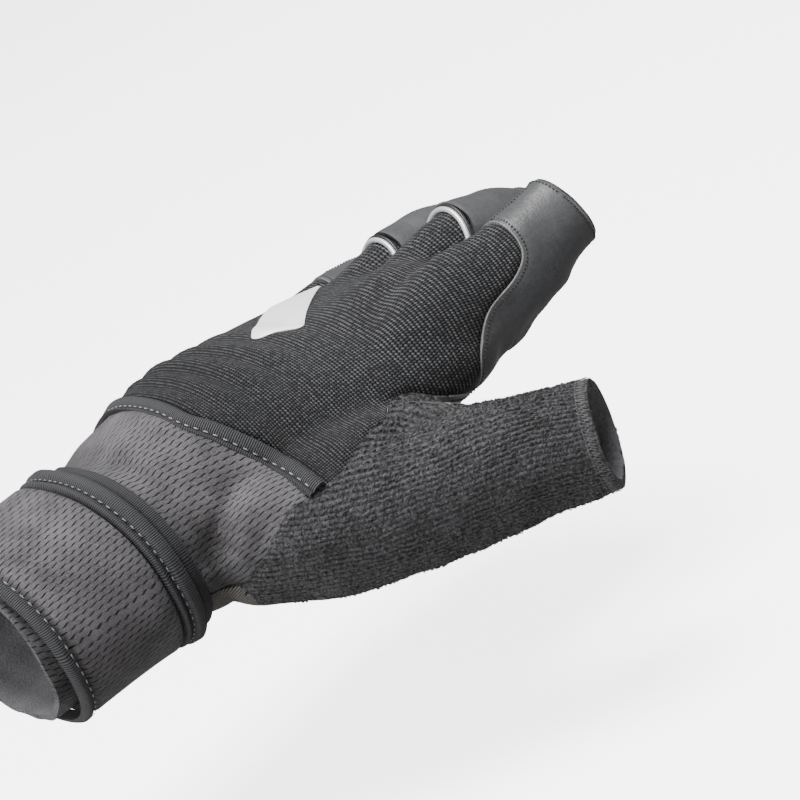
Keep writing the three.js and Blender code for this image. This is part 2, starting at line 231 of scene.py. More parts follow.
def smooth(t: Array) -> Array:
    """Eases from 0 to 1, held outside that range."""
    t = np.clip(t, 0.0, 1.0)
    return t * t * (3 - 2 * t)


def read_rows(stations: Sequence[float], values: Sequence[float], x: Array) -> Array:
    """Reads a column of a table off a smooth curve through its rows.

    Args:
        stations: where the rows are.
        values: the column's value in each row.
        x: where to read it.

    Returns:
        The value at each x, held beyond the ends.
    """
    at, value = np.asarray(stations, float), np.asarray(values, float)
    x = np.asarray(x, float)
    i = np.clip(np.searchsorted(at, x, side="left") - 1, 0, len(at) - 2)
    before, after = np.maximum(i - 1, 0), np.minimum(i + 2, len(at) - 1)
    span = at[i + 1] - at[i]
    slope_a = (value[i + 1] - value[before]) / (at[i + 1] - at[before]) * span
    slope_b = (value[after] - value[i]) / (at[after] - at[i]) * span
    t = np.clip((x - at[i]) / span, 0, 1)
    return (
        (2 * t**3 - 3 * t**2 + 1) * value[i] + (t**3 - 2 * t**2 + t) * slope_a
        + (3 * t**2 - 2 * t**3) * value[i + 1] + (t**3 - t**2) * slope_b
    )


def hermite(start: Array, end: Array, leave: Array, arrive: Array, f: Array) -> Array:
    """The cubic from start to end with the given speeds there, at shares f."""
    return (
        (2 * start - 2 * end + leave + arrive) * f**3
        + (-3 * start + 3 * end - 2 * leave - arrive) * f**2 + leave * f + start
    )


def flat_curve(points: Sequence[Sequence[float]], count: int = 40) -> Array:
    """A smooth flat curve through points.

    Args:
        points: the points that it passes through.
        count: how many steps it is divided in.

    Returns:
        The points along it.
    """
    p = np.asarray(points, float)
    t = np.linspace(0, len(p) - 1, count + 1)
    i = np.minimum(t.astype(int), len(p) - 2)
    f = (t - i)[:, None]
    a, b, c, d = p[np.maximum(i - 1, 0)], p[i], p[i + 1], p[np.minimum(i + 2, len(p) - 1)]
    return hermite(b, c, (c - a) * 0.5, (d - b) * 0.5, f)


def run_length(points: Array) -> Array:
    """The length of a line up to each of its points."""
    return np.concatenate(([0.0], np.cumsum(np.linalg.norm(np.diff(points, axis=0), axis=1))))


def resample(points: Array, step: float) -> Array:
    """Places points evenly along an open line.

    Args:
        points: the line.
        step: about how far apart they come to lie.

    Returns:
        The even points, ends included.
    """
    length = run_length(points)
    count = max(2, int(round(length[-1] / step)))
    at = np.linspace(0, length[-1], count + 1)
    return np.stack([np.interp(at, length, points[:, k]) for k in range(points.shape[1])], axis=1)


def unit(v: Array) -> Array:
    """Vectors at length 1."""
    return v / np.maximum(np.linalg.norm(v, axis=-1, keepdims=True), 1e-9)


def tangents(path: Array) -> Array:
    """The directions ahead along a line."""
    return unit(np.gradient(path, axis=0))


def nearest_index(places: Array, line: Array) -> tuple[Array, Array]:
    """The number of the nearest point of a line to each place, and its distance."""
    best, index = np.full(len(places), np.inf), np.zeros(len(places), int)
    for k, p in enumerate(line):
        far = ((places - p) ** 2).sum(axis=1)
        closer = far < best
        best[closer], index[closer] = far[closer], k
    return index, np.sqrt(best)


def soften(points: Array, rounds: int) -> Array:
    """Evens out an open line, its ends held."""
    out = points.copy()
    for _ in range(rounds):
        out[1:-1] = 0.5 * out[1:-1] + 0.25 * (out[:-2] + out[2:])
    return out


def outline_distance(points: Array, outline: Array) -> Array:
    """Signed distance from a closed flat outline, below 0 inside it.

    Args:
        points: the flat points to measure.
        outline: the outline's corners.

    Returns:
        The distance of each point.
    """
    nearest = np.full(len(points), np.inf)
    inside = np.zeros(len(points), bool)
    x, y = points[:, 0], points[:, 1]
    for a, b in zip(outline, np.roll(outline, -1, axis=0)):
        ab = b - a
        long = float(ab @ ab)
        if long < 1e-12:
            continue
        t = np.clip(((x - a[0]) * ab[0] + (y - a[1]) * ab[1]) / long, 0, 1)
        nearest = np.minimum(nearest, (x - a[0] - t * ab[0]) ** 2 + (y - a[1] - t * ab[1]) ** 2)
        if a[1] != b[1]:
            spans = (a[1] > y) != (b[1] > y)
            inside ^= spans & (x < a[0] + (y - a[1]) / (b[1] - a[1]) * ab[0])
    distance = np.sqrt(nearest)
    return np.where(inside, -distance, distance)


# ---------------------------------------------------------------- the hand's form


@dataclass(frozen=True)
class Limb:
    """A finger, thumb or web as an oval tube round a smooth centre line."""

    points: Array
    widths: Array
    heights: Array

    @staticmethod
    def of(rows: Sequence[Sequence[float]]) -> "Limb":
        """A limb from rows of X, Y, Z, half width and half height."""
        table = np.asarray(rows, float)
        return Limb(table[:, :3], table[:, 3], table[:, 4])

    @staticmethod
    def finger(finger: Finger) -> "Limb":
        """The tube of one finger."""
        return Limb(np.asarray(finger.line, float), np.asarray(finger.widths), np.asarray(finger.heights))

    def at(self, t: Array) -> Array:
        """Points of the centre line.

        Args:
            t: places from 0 to 1 along it.

        Returns:
            The points, on a centripetal curve through the rows.
        """
        p = self.points
        p = np.vstack([2 * p[0] - p[1], p, 2 * p[-1] - p[-2]])
        place = np.clip(t, 0, 1) * (len(self.points) - 1)
        i = np.minimum(place.astype(int), len(self.points) - 2)
        f = (place - i)[:, None]
        a, b, c, d = p[i], p[i + 1], p[i + 2], p[i + 3]
        ab, bc, cd = (np.linalg.norm(q - r, axis=1)[:, None] ** 0.5 for q, r in ((b, a), (c, b), (d, c)))
        v0 = ((b - a) / ab - (c - a) / (ab + bc) + (c - b) / bc) * bc
        v1 = ((c - b) / bc - (d - b) / (bc + cd) + (d - c) / cd) * bc
        return hermite(b, c, v0, v1, f)

    def axes(self, t: Array) -> tuple[Array, Array, Array]:
        """The directions ahead, to the side and up at places along the line."""
        low, high = np.clip(t - 1e-3, 0, 1 - 2e-3), np.clip(t + 1e-3, 2e-3, 1)
        ahead = unit(self.at(high) - self.at(low))
        side = unit(np.cross(np.array([0.0, 0.0, 1.0]), ahead))
        return ahead, side, np.cross(ahead, side)

    def read(self, values: Array, t: Array) -> Array:
        """A half width or half height at places along the line."""
        place = np.clip(t, 0, 1) * (len(values) - 1)
        i = np.minimum(place.astype(int), len(values) - 2)
        return values[i] + (values[i + 1] - values[i]) * smooth(place - i)

    def length(self) -> float:
        """The centre line's length."""
        line = self.at(np.linspace(0, 1, 200))
        return float(np.linalg.norm(np.diff(line, axis=0), axis=1).sum())

    def point(self, t: Array, degrees: Array, out: Array | float = 0.0) -> Array:
        """Points of the tube's surface.

        Args:
            t: places along the line, which runs straight on beyond its ends.
            degrees: angles round it, 90 at its top.
            out: distance outside the surface.

        Returns:
            The points.
        """
        ahead, side, up = self.axes(t)
        on = np.clip(t, 0, 1)
        c, s = np.cos(np.radians(degrees))[:, None], np.sin(np.radians(degrees))[:, None]
        out = np.broadcast_to(np.asarray(out, float), t.shape)
        wide, high = (self.read(self.widths, t) + out)[:, None], (self.read(self.heights, t) + out)[:, None]
        return self.at(t) + ahead * ((t - on) * self.length())[:, None] + side * wide * c + up * high * s

    def nearest(self, places: Array) -> tuple[Array, Array]:
        """Where points lie along and round the tube.

        Args:
            places: the points.

        Returns:
            The place along the line from 0 to 1, and the angle in degrees.
        """
        t = np.linspace(0, 1, 160)
        line = self.at(t)
        index, _ = nearest_index(places, line)
        _, side, up = self.axes(t)
        offset = places - line[index]
        return t[index], np.degrees(np.arctan2((offset * up[index]).sum(1), (offset * side[index]).sum(1)))

    def place_of_x(self, x: float) -> float:
        """Where along the line it passes X."""
        t = np.linspace(0, 1, 400)
        return float(np.interp(x, self.at(t)[:, 0], t))


def body_column(name: str, x: Array) -> Array:
    """A column of the body's table at X."""
    return read_rows([s.x for s in BODY], [getattr(s, name) for s in BODY], x)


def fold_rise(x: Array, degrees: Array) -> Array:
    """Height of the gathered folds at X and at an angle, where 90 degrees is the back."""
    rise = np.zeros(np.broadcast(x, degrees).shape)
    for fold in FOLDS:
        crest = fold.x + fold.slant * (degrees - 90) / 90
        reach = smooth((fold.towards - np.abs(degrees - 100)) / 45)
        rise = rise + fold.rise * np.exp(-(((x - crest) / fold.width) ** 2)) * reach
    return rise


def body_point(x: Array, degrees: Array, out: Array | float = 0.0, folded: bool = True) -> Array:
    """Points of the wrist's and palm's surface.

    Args:
        x: where along the hand.
        degrees: angles round it, 0 at the little finger's side and 90 at the back.
        out: distance outside the surface.
        folded: whether the gathered folds count.

    Returns:
        The points.
    """
    x, degrees = np.broadcast_arrays(np.asarray(x, float), np.asarray(degrees, float))
    c, s = np.cos(np.radians(degrees)), np.sin(np.radians(degrees))
    across = np.sign(c) * np.abs(c) ** (2 / SQUARENESS)
    rise = fold_rise(x, degrees) if folded else 0.0
    rise = rise + KNUCKLE.at(x, body_column("half", x) * across)
    edge = np.where(s > 0, body_column("top", x) + out + rise, body_column("bottom", x) - out)
    lag = body_column("lag", x) * np.maximum(0, across) ** 2
    return np.stack(
        [x - lag, (body_column("half", x) + out) * across, edge * np.abs(s) ** (2 / SQUARENESS)], axis=-1
    )


class BodyChart:
    """Reads places on the body as lengths along and across it, as the cloth's threads run."""

    REACH = 154
    SHARE_KEPT = 0.9  # of the length gathered in a fold, or lying outside the body

    def __init__(self) -> None:
        """Measures the way round each section once."""
        self.stations = np.linspace(0, self.REACH, 78)
        self.angles = np.linspace(-90, 270, 181)
        x, angle = np.meshgrid(self.stations, self.angles, indexing="ij")
        ring = body_point(x, angle, folded=False)
        steps = np.linalg.norm(np.diff(ring, axis=1), axis=2)
        length = np.concatenate([np.zeros((len(self.stations), 1)), np.cumsum(steps, axis=1)], axis=1)
        self.across = length - length[:, 90:91]

    def place(self, points: Array) -> tuple[Array, Array]:
        """The station and angle of points on or near the body.

        Args:
            points: the points.

        Returns:
            X before the lag, and the angle from -90 to 270 degrees.
        """
        x = points[:, 0].copy()
        for _ in range(3):
            across = np.clip(points[:, 1] / body_column("half", x), -1, 1)
            x = points[:, 0] + body_column("lag", x) * np.maximum(0, across) ** 2
        wide = points[:, 1] / body_column("half", x)
        edge = np.where(points[:, 2] > 0, body_column("top", x), -body_column("bottom", x))
        high = points[:, 2] / edge
        power = SQUARENESS / 2
        angle = np.degrees(
            np.arctan2(np.sign(high) * np.abs(high) ** power, np.sign(wide) * np.abs(wide) ** power)
        )
        return x, np.where(angle < -90, angle + 360, angle)

    def threads(self, points: Array) -> tuple[Array, Array]:
        """How far along and across the cloth points lie, in millimetres."""
        x, angle = self.place(points)
        row = np.clip(x / self.REACH * (len(self.stations) - 1), 0, len(self.stations) - 1.001)
        column = np.clip((angle + 90) / 2, 0, len(self.angles) - 1.001)
        i, j = row.astype(int), column.astype(int)
        f, g = row - i, column - j
        grid = self.across
        across = (
            grid[i, j] * (1 - f) * (1 - g) + grid[i + 1, j] * f * (1 - g)
            + grid[i, j + 1] * (1 - f) * g + grid[i + 1, j + 1] * f * g
        )
        gather = np.zeros(len(points))
        for fold in FOLDS:
            crest = fold.x + fold.slant * (angle - 90) / 90
            gather += self.SHARE_KEPT * fold.rise * np.tanh((x - crest) / (1.2 * fold.width))
        half = np.abs(points[:, 1]) / body_column("half", x)
        edge = np.where(points[:, 2] > 0, body_column("top", x), -body_column("bottom", x))
        reach = half**SQUARENESS + np.abs(points[:, 2] / edge) ** SQUARENESS
        ratio = np.maximum(1, reach ** (1 / SQUARENESS))
        outside = np.linalg.norm(points[:, 1:], axis=1) * (1 - 1 / ratio)
        thumb_side = smooth((angle - 125) / 35) * smooth((145 - x) / 20)
        across = across + self.SHARE_KEPT * outside * thumb_side
        return points[:, 0] + gather, across


# ---------------------------------------------------------------- meshes


def grid_mesh(across: int, along: int, place: Place) -> BM:
    """A grid of faces laid out on a surface, with doubled points merged.

    Args:
        across: faces the first way.
        along: faces the second way.
        place: gives the points for two arrays that run from 0 to 1.

    Returns:
        The grid as a bmesh.
    """
    bm = bmesh.new()
    bmesh.ops.create_grid(bm, x_segments=across, y_segments=along, size=1)
    flat = np.array([(v.co.x, v.co.y) for v in bm.verts]) / 2 + 0.5
    for v, p in zip(bm.verts, place(flat[:, 0], flat[:, 1])):
        v.co = p
    bmesh.ops.remove_doubles(bm, verts=bm.verts, dist=1e-4)
    return bm


def closed_tube(across: int, along: int, place: Place) -> BM:
    """A grid that closes on itself the first way, with both ends filled and its faces outwards."""
    bm = grid_mesh(across, along, place)
    ends = [e for e in bm.edges if e.is_boundary]
    bmesh.ops.holes_fill(bm, edges=ends, sides=0)
    bmesh.ops.recalc_face_normals(bm, faces=bm.faces)
    return bm


def vertex_places(bm: BM) -> Array:
    """Where the vertices of a bmesh are."""
    return np.array([v.co for v in bm.verts])


def relax(bm: BM, verts: Iterable[bmesh.types.BMVert], rounds: int) -> None:
    """Smooths some vertices of a bmesh several times over."""
    for _ in range(rounds):
        bmesh.ops.smooth_vert(bm, verts=verts, factor=0.5, use_axis_x=True, use_axis_y=True, use_axis_z=True)


def mesh_of(bm: BM, name: str) -> bpy.types.Mesh:
    """A bmesh as a mesh. The bmesh is freed."""
    mesh = bpy.data.meshes.new(name)
    bm.to_mesh(mesh)
    bm.free()
    return mesh


def added(name: str, data: bpy.types.ID) -> bpy.types.Object:
    """A new object in the scene."""
    thing = bpy.data.objects.new(name, data)
    bpy.context.scene.collection.objects.link(thing)
    return thing


def joined(parts: Iterable[BM]) -> bpy.types.Mesh:
    """Several bmeshes as one mesh. The parts are freed."""
    mesh = bpy.data.meshes.new("joined")
    whole = bmesh.new()
    for part in parts:
        part.to_mesh(mesh)
        whole.from_mesh(mesh)
        part.free()
    whole.to_mesh(mesh)
    whole.free()
    return mesh


class Batch:
    """Collects many small shapes, a few at a time so that each operator stays quick."""

    SIZE = 80

    def __init__(self) -> None:
        """Starts empty."""
        self.parts = [bmesh.new()]
        self.count = 0

    def next(self) -> BM:
        """The bmesh that the next small shape goes into."""
        self.count += 1
        if self.count % self.SIZE == 0:
            self.parts.append(bmesh.new())
        return self.parts[-1]

    def whole(self) -> BM:
        """All the shapes as one bmesh."""
        mesh = joined(self.parts)
        bm = bmesh.new()
        bm.from_mesh(mesh)
        bpy.data.meshes.remove(mesh)
        return bm


def coordinates(mesh: bpy.types.Mesh, source: str = "vertices") -> Array:
    """The vertices' places or the vertex normals of a mesh as an array."""
    out = np.empty(len(mesh.vertices) * 3)
    if source == "vertices":
        mesh.vertices.foreach_get("co", out)
    else:
        mesh.vertex_normals.foreach_get("vector", out)
    return out.reshape(-1, 3)


class Skin:
    """The outer surface of the worn glove, one fine mesh that the panels are cut from."""

    VOXEL = 0.9
    ROUNDS = 3
    CREASE_ROUNDS = 34
    CREASE_FROM = 0.3

    def __init__(self, chart: BodyChart) -> None:
        """Joins the hand's tubes, melts them into one surface and smooths it.

        Args:
            chart: where places lie along and across the body.
        """
        self.chart = chart
        self.thumb = Limb.of(THUMB)
        self.fingers = {finger.name: Limb.finger(finger) for finger in FINGERS}
        mesh = joined([
            closed_tube(120, 90, lambda a, b: body_point(-6 + 167 * b, 360 * a)),
            *(self._tube(limb, 72, 60, 1.05) for limb in self.fingers.values()),
            self._tube(self.thumb, 90, 80, 1.04),
            self._tube(Limb.of(WEB), 60, 50, 1.0),
        ])
        self.mesh = self._melt(mesh)
        self.points = coordinates(self.mesh)
        self.normals = coordinates(self.mesh, "normals")
        faces = [tuple(p.vertices) for p in self.mesh.polygons]
        self.tree = BVHTree.FromPolygons([Vector(p) for p in self.points], faces)
        log.info("skin: %d faces", len(faces))

    @staticmethod
    def _tube(limb: Limb, across: int, along: int, reach: float) -> BM:
        """A limb's tube, run on past its hem so that the hem can be cut square."""
        return closed_tube(across, along, lambda a, b: limb.point(reach * b, 360 * a))

    def _melt(self, mesh: bpy.types.Mesh) -> bpy.types.Mesh:
        """Melts overlapping tubes into one surface and smooths the creases between them."""
        shape = added("melt", mesh)
        remesh = shape.modifiers.new("melt", "REMESH")
        remesh.mode = "VOXEL"
        remesh.voxel_size = self.VOXEL
        melted = bpy.data.meshes.new_from_object(shape.evaluated_get(bpy.context.evaluated_depsgraph_get()))
        bpy.data.objects.remove(shape)
        bm = bmesh.new()
        bm.from_mesh(melted)
        bm.verts.ensure_lookup_table()
        relax(bm, bm.verts, self.ROUNDS)
        crease = self._crease_weight(vertex_places(bm))
        relax(bm, [v for v, w in zip(bm.verts, crease) if w > self.CREASE_FROM], self.CREASE_ROUNDS)
        relax(bm, bm.verts, self.ROUNDS)
        bm.to_mesh(melted)
        bm.free()
        melted.shade_smooth()
        return melted

    def _crease_weight(self, places: Array) -> Array:
        """How much each point lies at a root of a finger or the thumb, where the tubes meet in a crease."""
        x, y, z = places.T
        roots = smooth((x - 128) / 10) * smooth((170 - x) / 8) * smooth((z - 4) / 4)
        thumb = smooth((x - 66) / 8) * smooth((118 - x) / 8) * smooth((-24 - y) / 6) * smooth((y + 60) / 8)
        return np.maximum(roots, thumb)

    def thumb_threads(self, places: Array) -> tuple[Array, Array]:
        """Lengths along and round the thumb, on rows that wander a little."""
        t, degrees = self.thumb.nearest(places)
        wander = np.array([
            1.1 * noise.noise(Vector(p) / 13) + 0.3 * noise.noise(Vector(p) / 4) for p in places
        ])
        return t * self.thumb.length(), np.radians(degrees) * THUMB_RADIUS + wander

    def project(self, points: Array, out: Array | float = 0.0) -> tuple[Array, Array]:
        """Points moved to the nearest place of the surface.

        Args:
            points: the points.
            out: distance outside the surface that they end at.

        Returns:
            The moved points and the surface's normals there.
        """
        places, normals = [], []
        for p in points:
            near, normal, _, _ = self.tree.find_nearest(Vector(p))
            places.append(near)
            normals.append(normal)
        normals = np.asarray(normals)
        out = np.broadcast_to(np.asarray(out, float), (len(points),))
        return np.asarray(places) + normals * out[:, None], normals

    def seen_from(self, start: Array, way: Array) -> Array:
        """Where rays first meet the surface. A ray that misses gives its nearest place."""
        found = []
        for p, d in zip(start, way):
            hit = self.tree.ray_cast(Vector(p), Vector(d))[0]
            found.append(hit if hit is not None else self.tree.find_nearest(Vector(p))[0])
        return np.asarray(found)

    def seen_from_above(self, spots: Array) -> Array:
        """The surface's points over spots of X and Y."""
        high = np.column_stack([spots, np.full(len(spots), FAR)])
        return self.seen_from(high, np.tile((0.0, 0.0, -1.0), (len(spots), 1)))


# ---------------------------------------------------------------- zones of the skin


class Zones:
    """Signed distances to the seams. A value is below 0 inside its zone."""

    @staticmethod
    def cuff(points: Array) -> Array:
        """The mesh cloth between the strap and the back fabric."""
        flat = points[:, [0, 2]]
        close = [(HEEL_EDGE, -15.4), (HEEL_EDGE, -60), (-20, -60), (-20, 60)]
        thumb_side = np.vstack([flat_curve(CUFF_EDGE_THUMB), flat_curve(CUFF_EDGE_HEEL)[1:], close])
        little_side = np.vstack([flat_curve(CUFF_EDGE_LITTLE), close])
        share = smooth((points[:, 1] + 1.5) / 3)
        return (1 - share) * outline_distance(flat, thumb_side) + share * outline_distance(flat, little_side)

    @staticmethod
    def thumb(points: Array) -> Array:
        """The towelling round the thumb."""
        top = flat_curve(THUMB_TOP_SEAM)
        top = np.vstack([top[top[:, 0] < 130], (133, 4), (172, 4), (172, -60), (50, -60)])
        palm = np.vstack([flat_curve(THUMB_PALM_SEAM), (172, -130), (52, -130)])
        below = outline_distance(points[:, [0, 2]], top)
        start = HEEL_SHOWS - 0.42 * (points[:, 2] + 16) - points[:, 0]
        web = np.maximum.reduce([-4 - points[:, 2], points[:, 0] - 128, points[:, 1] + 34])
        plan = np.minimum(outline_distance(points[:, [0, 1]], palm), web)
        return np.maximum.reduce([below, plan, start])

    @staticmethod
    def rim_x(finger: Finger, rise: Array) -> Array:
        """X of a tongue's edge, from its side at rise 0 to its tip at rise 1."""
        return finger.arch_x - RIM_DROP * (1 - rise) ** 1.3

    def tongue(self, finger: Finger) -> Array:
        """The outline of the back fabric in one finger's band, as X and Z."""
        if finger.name == "index":
            top = flat_curve(THUMB_TOP_SEAM)
            return np.vstack([
                top[top[:, 0] < 143], flat_curve(INDEX_SEAM), (finger.arch_x, 60), (40, 60),
            ])
        root, middle = finger.line[0][2], finger.line[2][2]
        rise = np.linspace(0, 1, 13)
        rim = np.stack([self.rim_x(finger, rise), middle + 12 * rise - 1], axis=1)
        side = [(40, 3), (130, 3), (146, (root + middle) / 2)]
        return np.vstack([side, rim, (finger.arch_x, 60), (40, 60)])

    def by_band(self, points: Array, value: Callable[[Finger], Array]) -> Array:
        """Joins the fingers' values over their bands of Y, blended for 1 mm at each border."""
        total = np.zeros(len(points))
        for finger in FINGERS:
            y = points[:, 1]
            total += smooth(y - finger.low + 0.5) * smooth(finger.high + 0.5 - y) * value(finger)
        return total

    def back(self, points: Array) -> Array:
        """The stretch canvas of the back with its tongues."""
        flat = points[:, [0, 2]]
        return self.by_band(points, lambda finger: outline_distance(flat, self.tongue(finger)))

    @staticmethod
    def heel(points: Array) -> Array:
        """The ribbed cloth at the heel of the hand."""
        return np.maximum(points[:, 0] - LEATHER_EDGE, points[:, 2] - 1)

    @staticmethod
    def wrap(points: Array, finger: Finger) -> Array:
        """One finger's own leather."""
        band = np.maximum(finger.low - points[:, 1], points[:, 1] - finger.high)
        if finger.name != "index":
            return np.maximum(finger.fold_x - points[:, 0], band)
        tail = flat_curve(INDEX_TAIL)
        outline = np.vstack([tail, (finger.fold_x, -60), (222, -60), (222, 60), (132, 60)])
        return np.maximum(outline_distance(points[:, [0, 2]], outline), band)


def both(*values: Array) -> Array:
    """Inside all of several zones."""
    return np.maximum.reduce(values)


# ---------------------------------------------------------------- finishes


class Value:
    """A shader socket that sums and products can be written with."""

    def __init__(self, graph: "Graph", socket: bpy.types.NodeSocket) -> None:
        """Wraps a socket of a graph."""
        self.graph = graph
        self.socket = socket

    def _math(self, operation: str, *others: "Value | float", clamp: bool = False) -> "Value":
        """A Math node on this value and others."""
        values = {index: other for index, other in enumerate((self, *others))}
        settings = {"operation": operation, "use_clamp": clamp}
        return self.graph.value("ShaderNodeMath", settings, values)

    def __add__(self, other: "Value | float") -> "Value":
        """The sum."""
        return self._math("ADD", other)

    __radd__ = __add__

    def __sub__(self, other: "Value | float") -> "Value":
        """The difference."""
        return self._math("SUBTRACT", other)

    def __rsub__(self, other: float) -> "Value":
        """A number less this value."""
        return (self * -1) + other

    def __mul__(self, other: "Value | float") -> "Value":
        """The product."""
        return self._math("MULTIPLY", other)

    __rmul__ = __mul__

    def __pow__(self, other: "Value | float") -> "Value":
        """The power."""
        return self._math("POWER", other)

    def sine(self) -> "Value":
        """The sine, of radians."""
        return self._math("SINE")

    def size(self) -> "Value":
        """The value without its sign."""
        return self._math("ABSOLUTE")

    def fraction(self) -> "Value":
        """What is left over a whole number."""
        return self._math("FRACT")

    def whole(self) -> "Value":
        """The whole number below."""
        return self._math("FLOOR")

    def clamped(self) -> "Value":
        """Held between 0 and 1."""
        return self._math("ADD", 0.0, clamp=True)

    def eased(self, low: float, high: float) -> "Value":
        """Eases from 0 at low to 1 at high."""
        settings = {"interpolation_type": "SMOOTHSTEP", "clamp": True}
        sockets = {"Value": self, "From Min": low, "From Max": high}
        return self.graph.value("ShaderNodeMapRange", settings, sockets)


class Graph:
    """A material and the nodes added to it."""

    def __init__(self, name: str) -> None:
        """Starts an empty material."""
        self.material = bpy.data.materials.new(name)
        self.material.use_nodes = True
        self.tree = self.material.node_tree
        self.tree.nodes.clear()

    def node(self, kind: str, settings: dict, sockets: dict) -> bpy.types.Node:
        """Adds a node.

        Args:
            kind: its type.
            settings: its properties, set first.
            sockets: its inputs by name or number, as numbers, colours or values.

        Returns:
            The node.
        """
        made = self.tree.nodes.new(kind)
        for key, value in settings.items():
            setattr(made, key, value)
        for key, value in sockets.items():
            if isinstance(value, Value):
                self.tree.links.new(value.socket, made.inputs[key])
            else:
                made.inputs[key].default_value = value
        return made

    def value(self, kind: str, settings: dict, sockets: dict, output: int | str = 0) -> Value:
        """Adds a node and gives one of its outputs."""
        return Value(self, self.node(kind, settings, sockets).outputs[output])

    def threads(self) -> tuple[Value, Value, Value]:
        """The piece's own lengths along and across its cloth, and the distance from its edge."""
        vector = self.value("ShaderNodeAttribute", {"attribute_name": "threads"}, {}, "Vector")
        split = self.node("ShaderNodeSeparateXYZ", {}, {0: vector})
        return tuple(Value(self, split.outputs[k]) for k in range(3))

    def place(self) -> Value:
        """Object coordinates, in metres."""
        return self.value("ShaderNodeTexCoord", {}, {}, "Object")

    def vector(self, x: Value | float, y: Value | float, z: Value | float = 0.0) -> Value:
        """Three numbers as one vector."""
        return self.value("ShaderNodeCombineXYZ", {}, {0: x, 1: y, 2: z})

    def noise(self, at: Value, scale: float, detail: float = 3.0, roughness: float = 0.55) -> Value:
        """Cloudy noise from 0 to 1."""
        return self.value(
            "ShaderNodeTexNoise", {}, {"Vector": at, "Scale": scale, "Detail": detail, "Roughness": roughness}
        )

    def cells(self, at: Value, scale: float) -> Value:
        """Distance inside scattered cells."""
        sockets = {"Vector": at, "Scale": scale, "Randomness": 1.0}
        return self.value("ShaderNodeTexVoronoi", {"feature": "F1"}, sockets, "Distance")

    def chance(self, first: Value, second: Value) -> Value:
        """A random number from 0 to 1 for each pair of whole numbers."""
        at = self.vector(first, second)
        return self.value("ShaderNodeTexWhiteNoise", {"noise_dimensions": "2D"}, {"Vector": at})

    def mix(self, a: "Value | tuple", b: "Value | tuple", share: Value | float) -> Value:
        """One colour turning into another."""
        made = self.node("ShaderNodeMix", {"data_type": "RGBA"}, {0: share})
        for index, colour in ((6, a), (7, b)):
            if isinstance(colour, Value):
                self.tree.links.new(colour.socket, made.inputs[index])
            else:
                made.inputs[index].default_value = (*colour, 1)
        return Value(self, made.outputs[2])

    def bump(self, height: Value, distance: float) -> Value:
        """A normal from a height, whose distance is in metres."""
        return self.value("ShaderNodeBump", {}, {"Height": height, "Distance": distance, "Strength": 1.0})

    def surface(self, **sockets: object) -> bpy.types.Material:
        """Ends the material in one principled surface.

        Args:
            sockets: the surface's inputs, with _ for a blank.

        Returns:
            The finished material.
        """
        named = {key.replace("_", " "): value for key, value in sockets.items()}
        shader = self.node("ShaderNodeBsdfPrincipled", {}, named)
        self.node("ShaderNodeOutputMaterial", {}, {"Surface": Value(self, shader.outputs[0])})
        return self.material


PI = float(np.pi)


@dataclass(frozen=True)
class Canvas:
    """Stretch canvas: wavy ribs across the hand, crossed by columns into knots of uneven tone, with painted
    shade darkening it towards the gathered wrist folds.
    """

    rib: float = 1.26
    column: float = 0.92
    dark: tuple[float, float, float] = (0.0045, 0.0045, 0.005)
    pale: tuple[float, float, float] = (0.118, 0.119, 0.124)

    def build(self) -> bpy.types.Material:
        """The material."""
        g = Graph("canvas")
        along, across, _ = g.threads()
        place = g.place()
        along = along + (g.noise(place, 160, 3) - 0.5) * 0.5
        across = across + (g.noise(place, 190, 2) - 0.5) * 0.5
        wave = (across * (2 * PI / self.column)).sine() * 0.1
        rib = ((along + wave) * (PI / self.rib)).sine().size()
        row = (along * (1 / self.rib)).whole()
        column = (across * (PI / self.column)).sine().size()
        place_in_row = (across * (1 / self.column)).whole()
        each = g.chance(row, place_in_row)
        yarn = g.noise(g.vector(along * 2.4, across * 1.3, 0.0), 2.2, 2)
        crest = rib.eased(0.6, 1.0)
        knot = column.eased(0.15, 0.9)
        # Painted shade: the canvas darkens towards the wrist, standing in for the shade among the gathered
        # folds.
        painted_fold_shade = along.eased(70, 128) * 0.36 + 0.64
        shine = crest * (knot * 0.4 + 0.42) * (each * 0.85 + 0.36) * (yarn * 0.9 + 0.45)
        bar = column.eased(0.5, 0.95) * (1 - crest) * 0.19 * (yarn * 0.8 + 0.5)
        base = g.mix(self.dark, self.pale, ((shine + bar) * painted_fold_shade).clamped())
        height = rib.eased(0.15, 0.95) * (knot * 0.4 + 0.6) + column.eased(0.2, 0.9) * 0.25
        normal = g.bump(height + yarn * 0.2, 0.00036)
        return g.surface(
            Base_Color=base, Roughness=(0.9 - shine * 0.2), Normal=normal, Sheen_Weight=0.04,
            Sheen_Roughness=0.5, Specular_IOR_Level=0.08,
        )


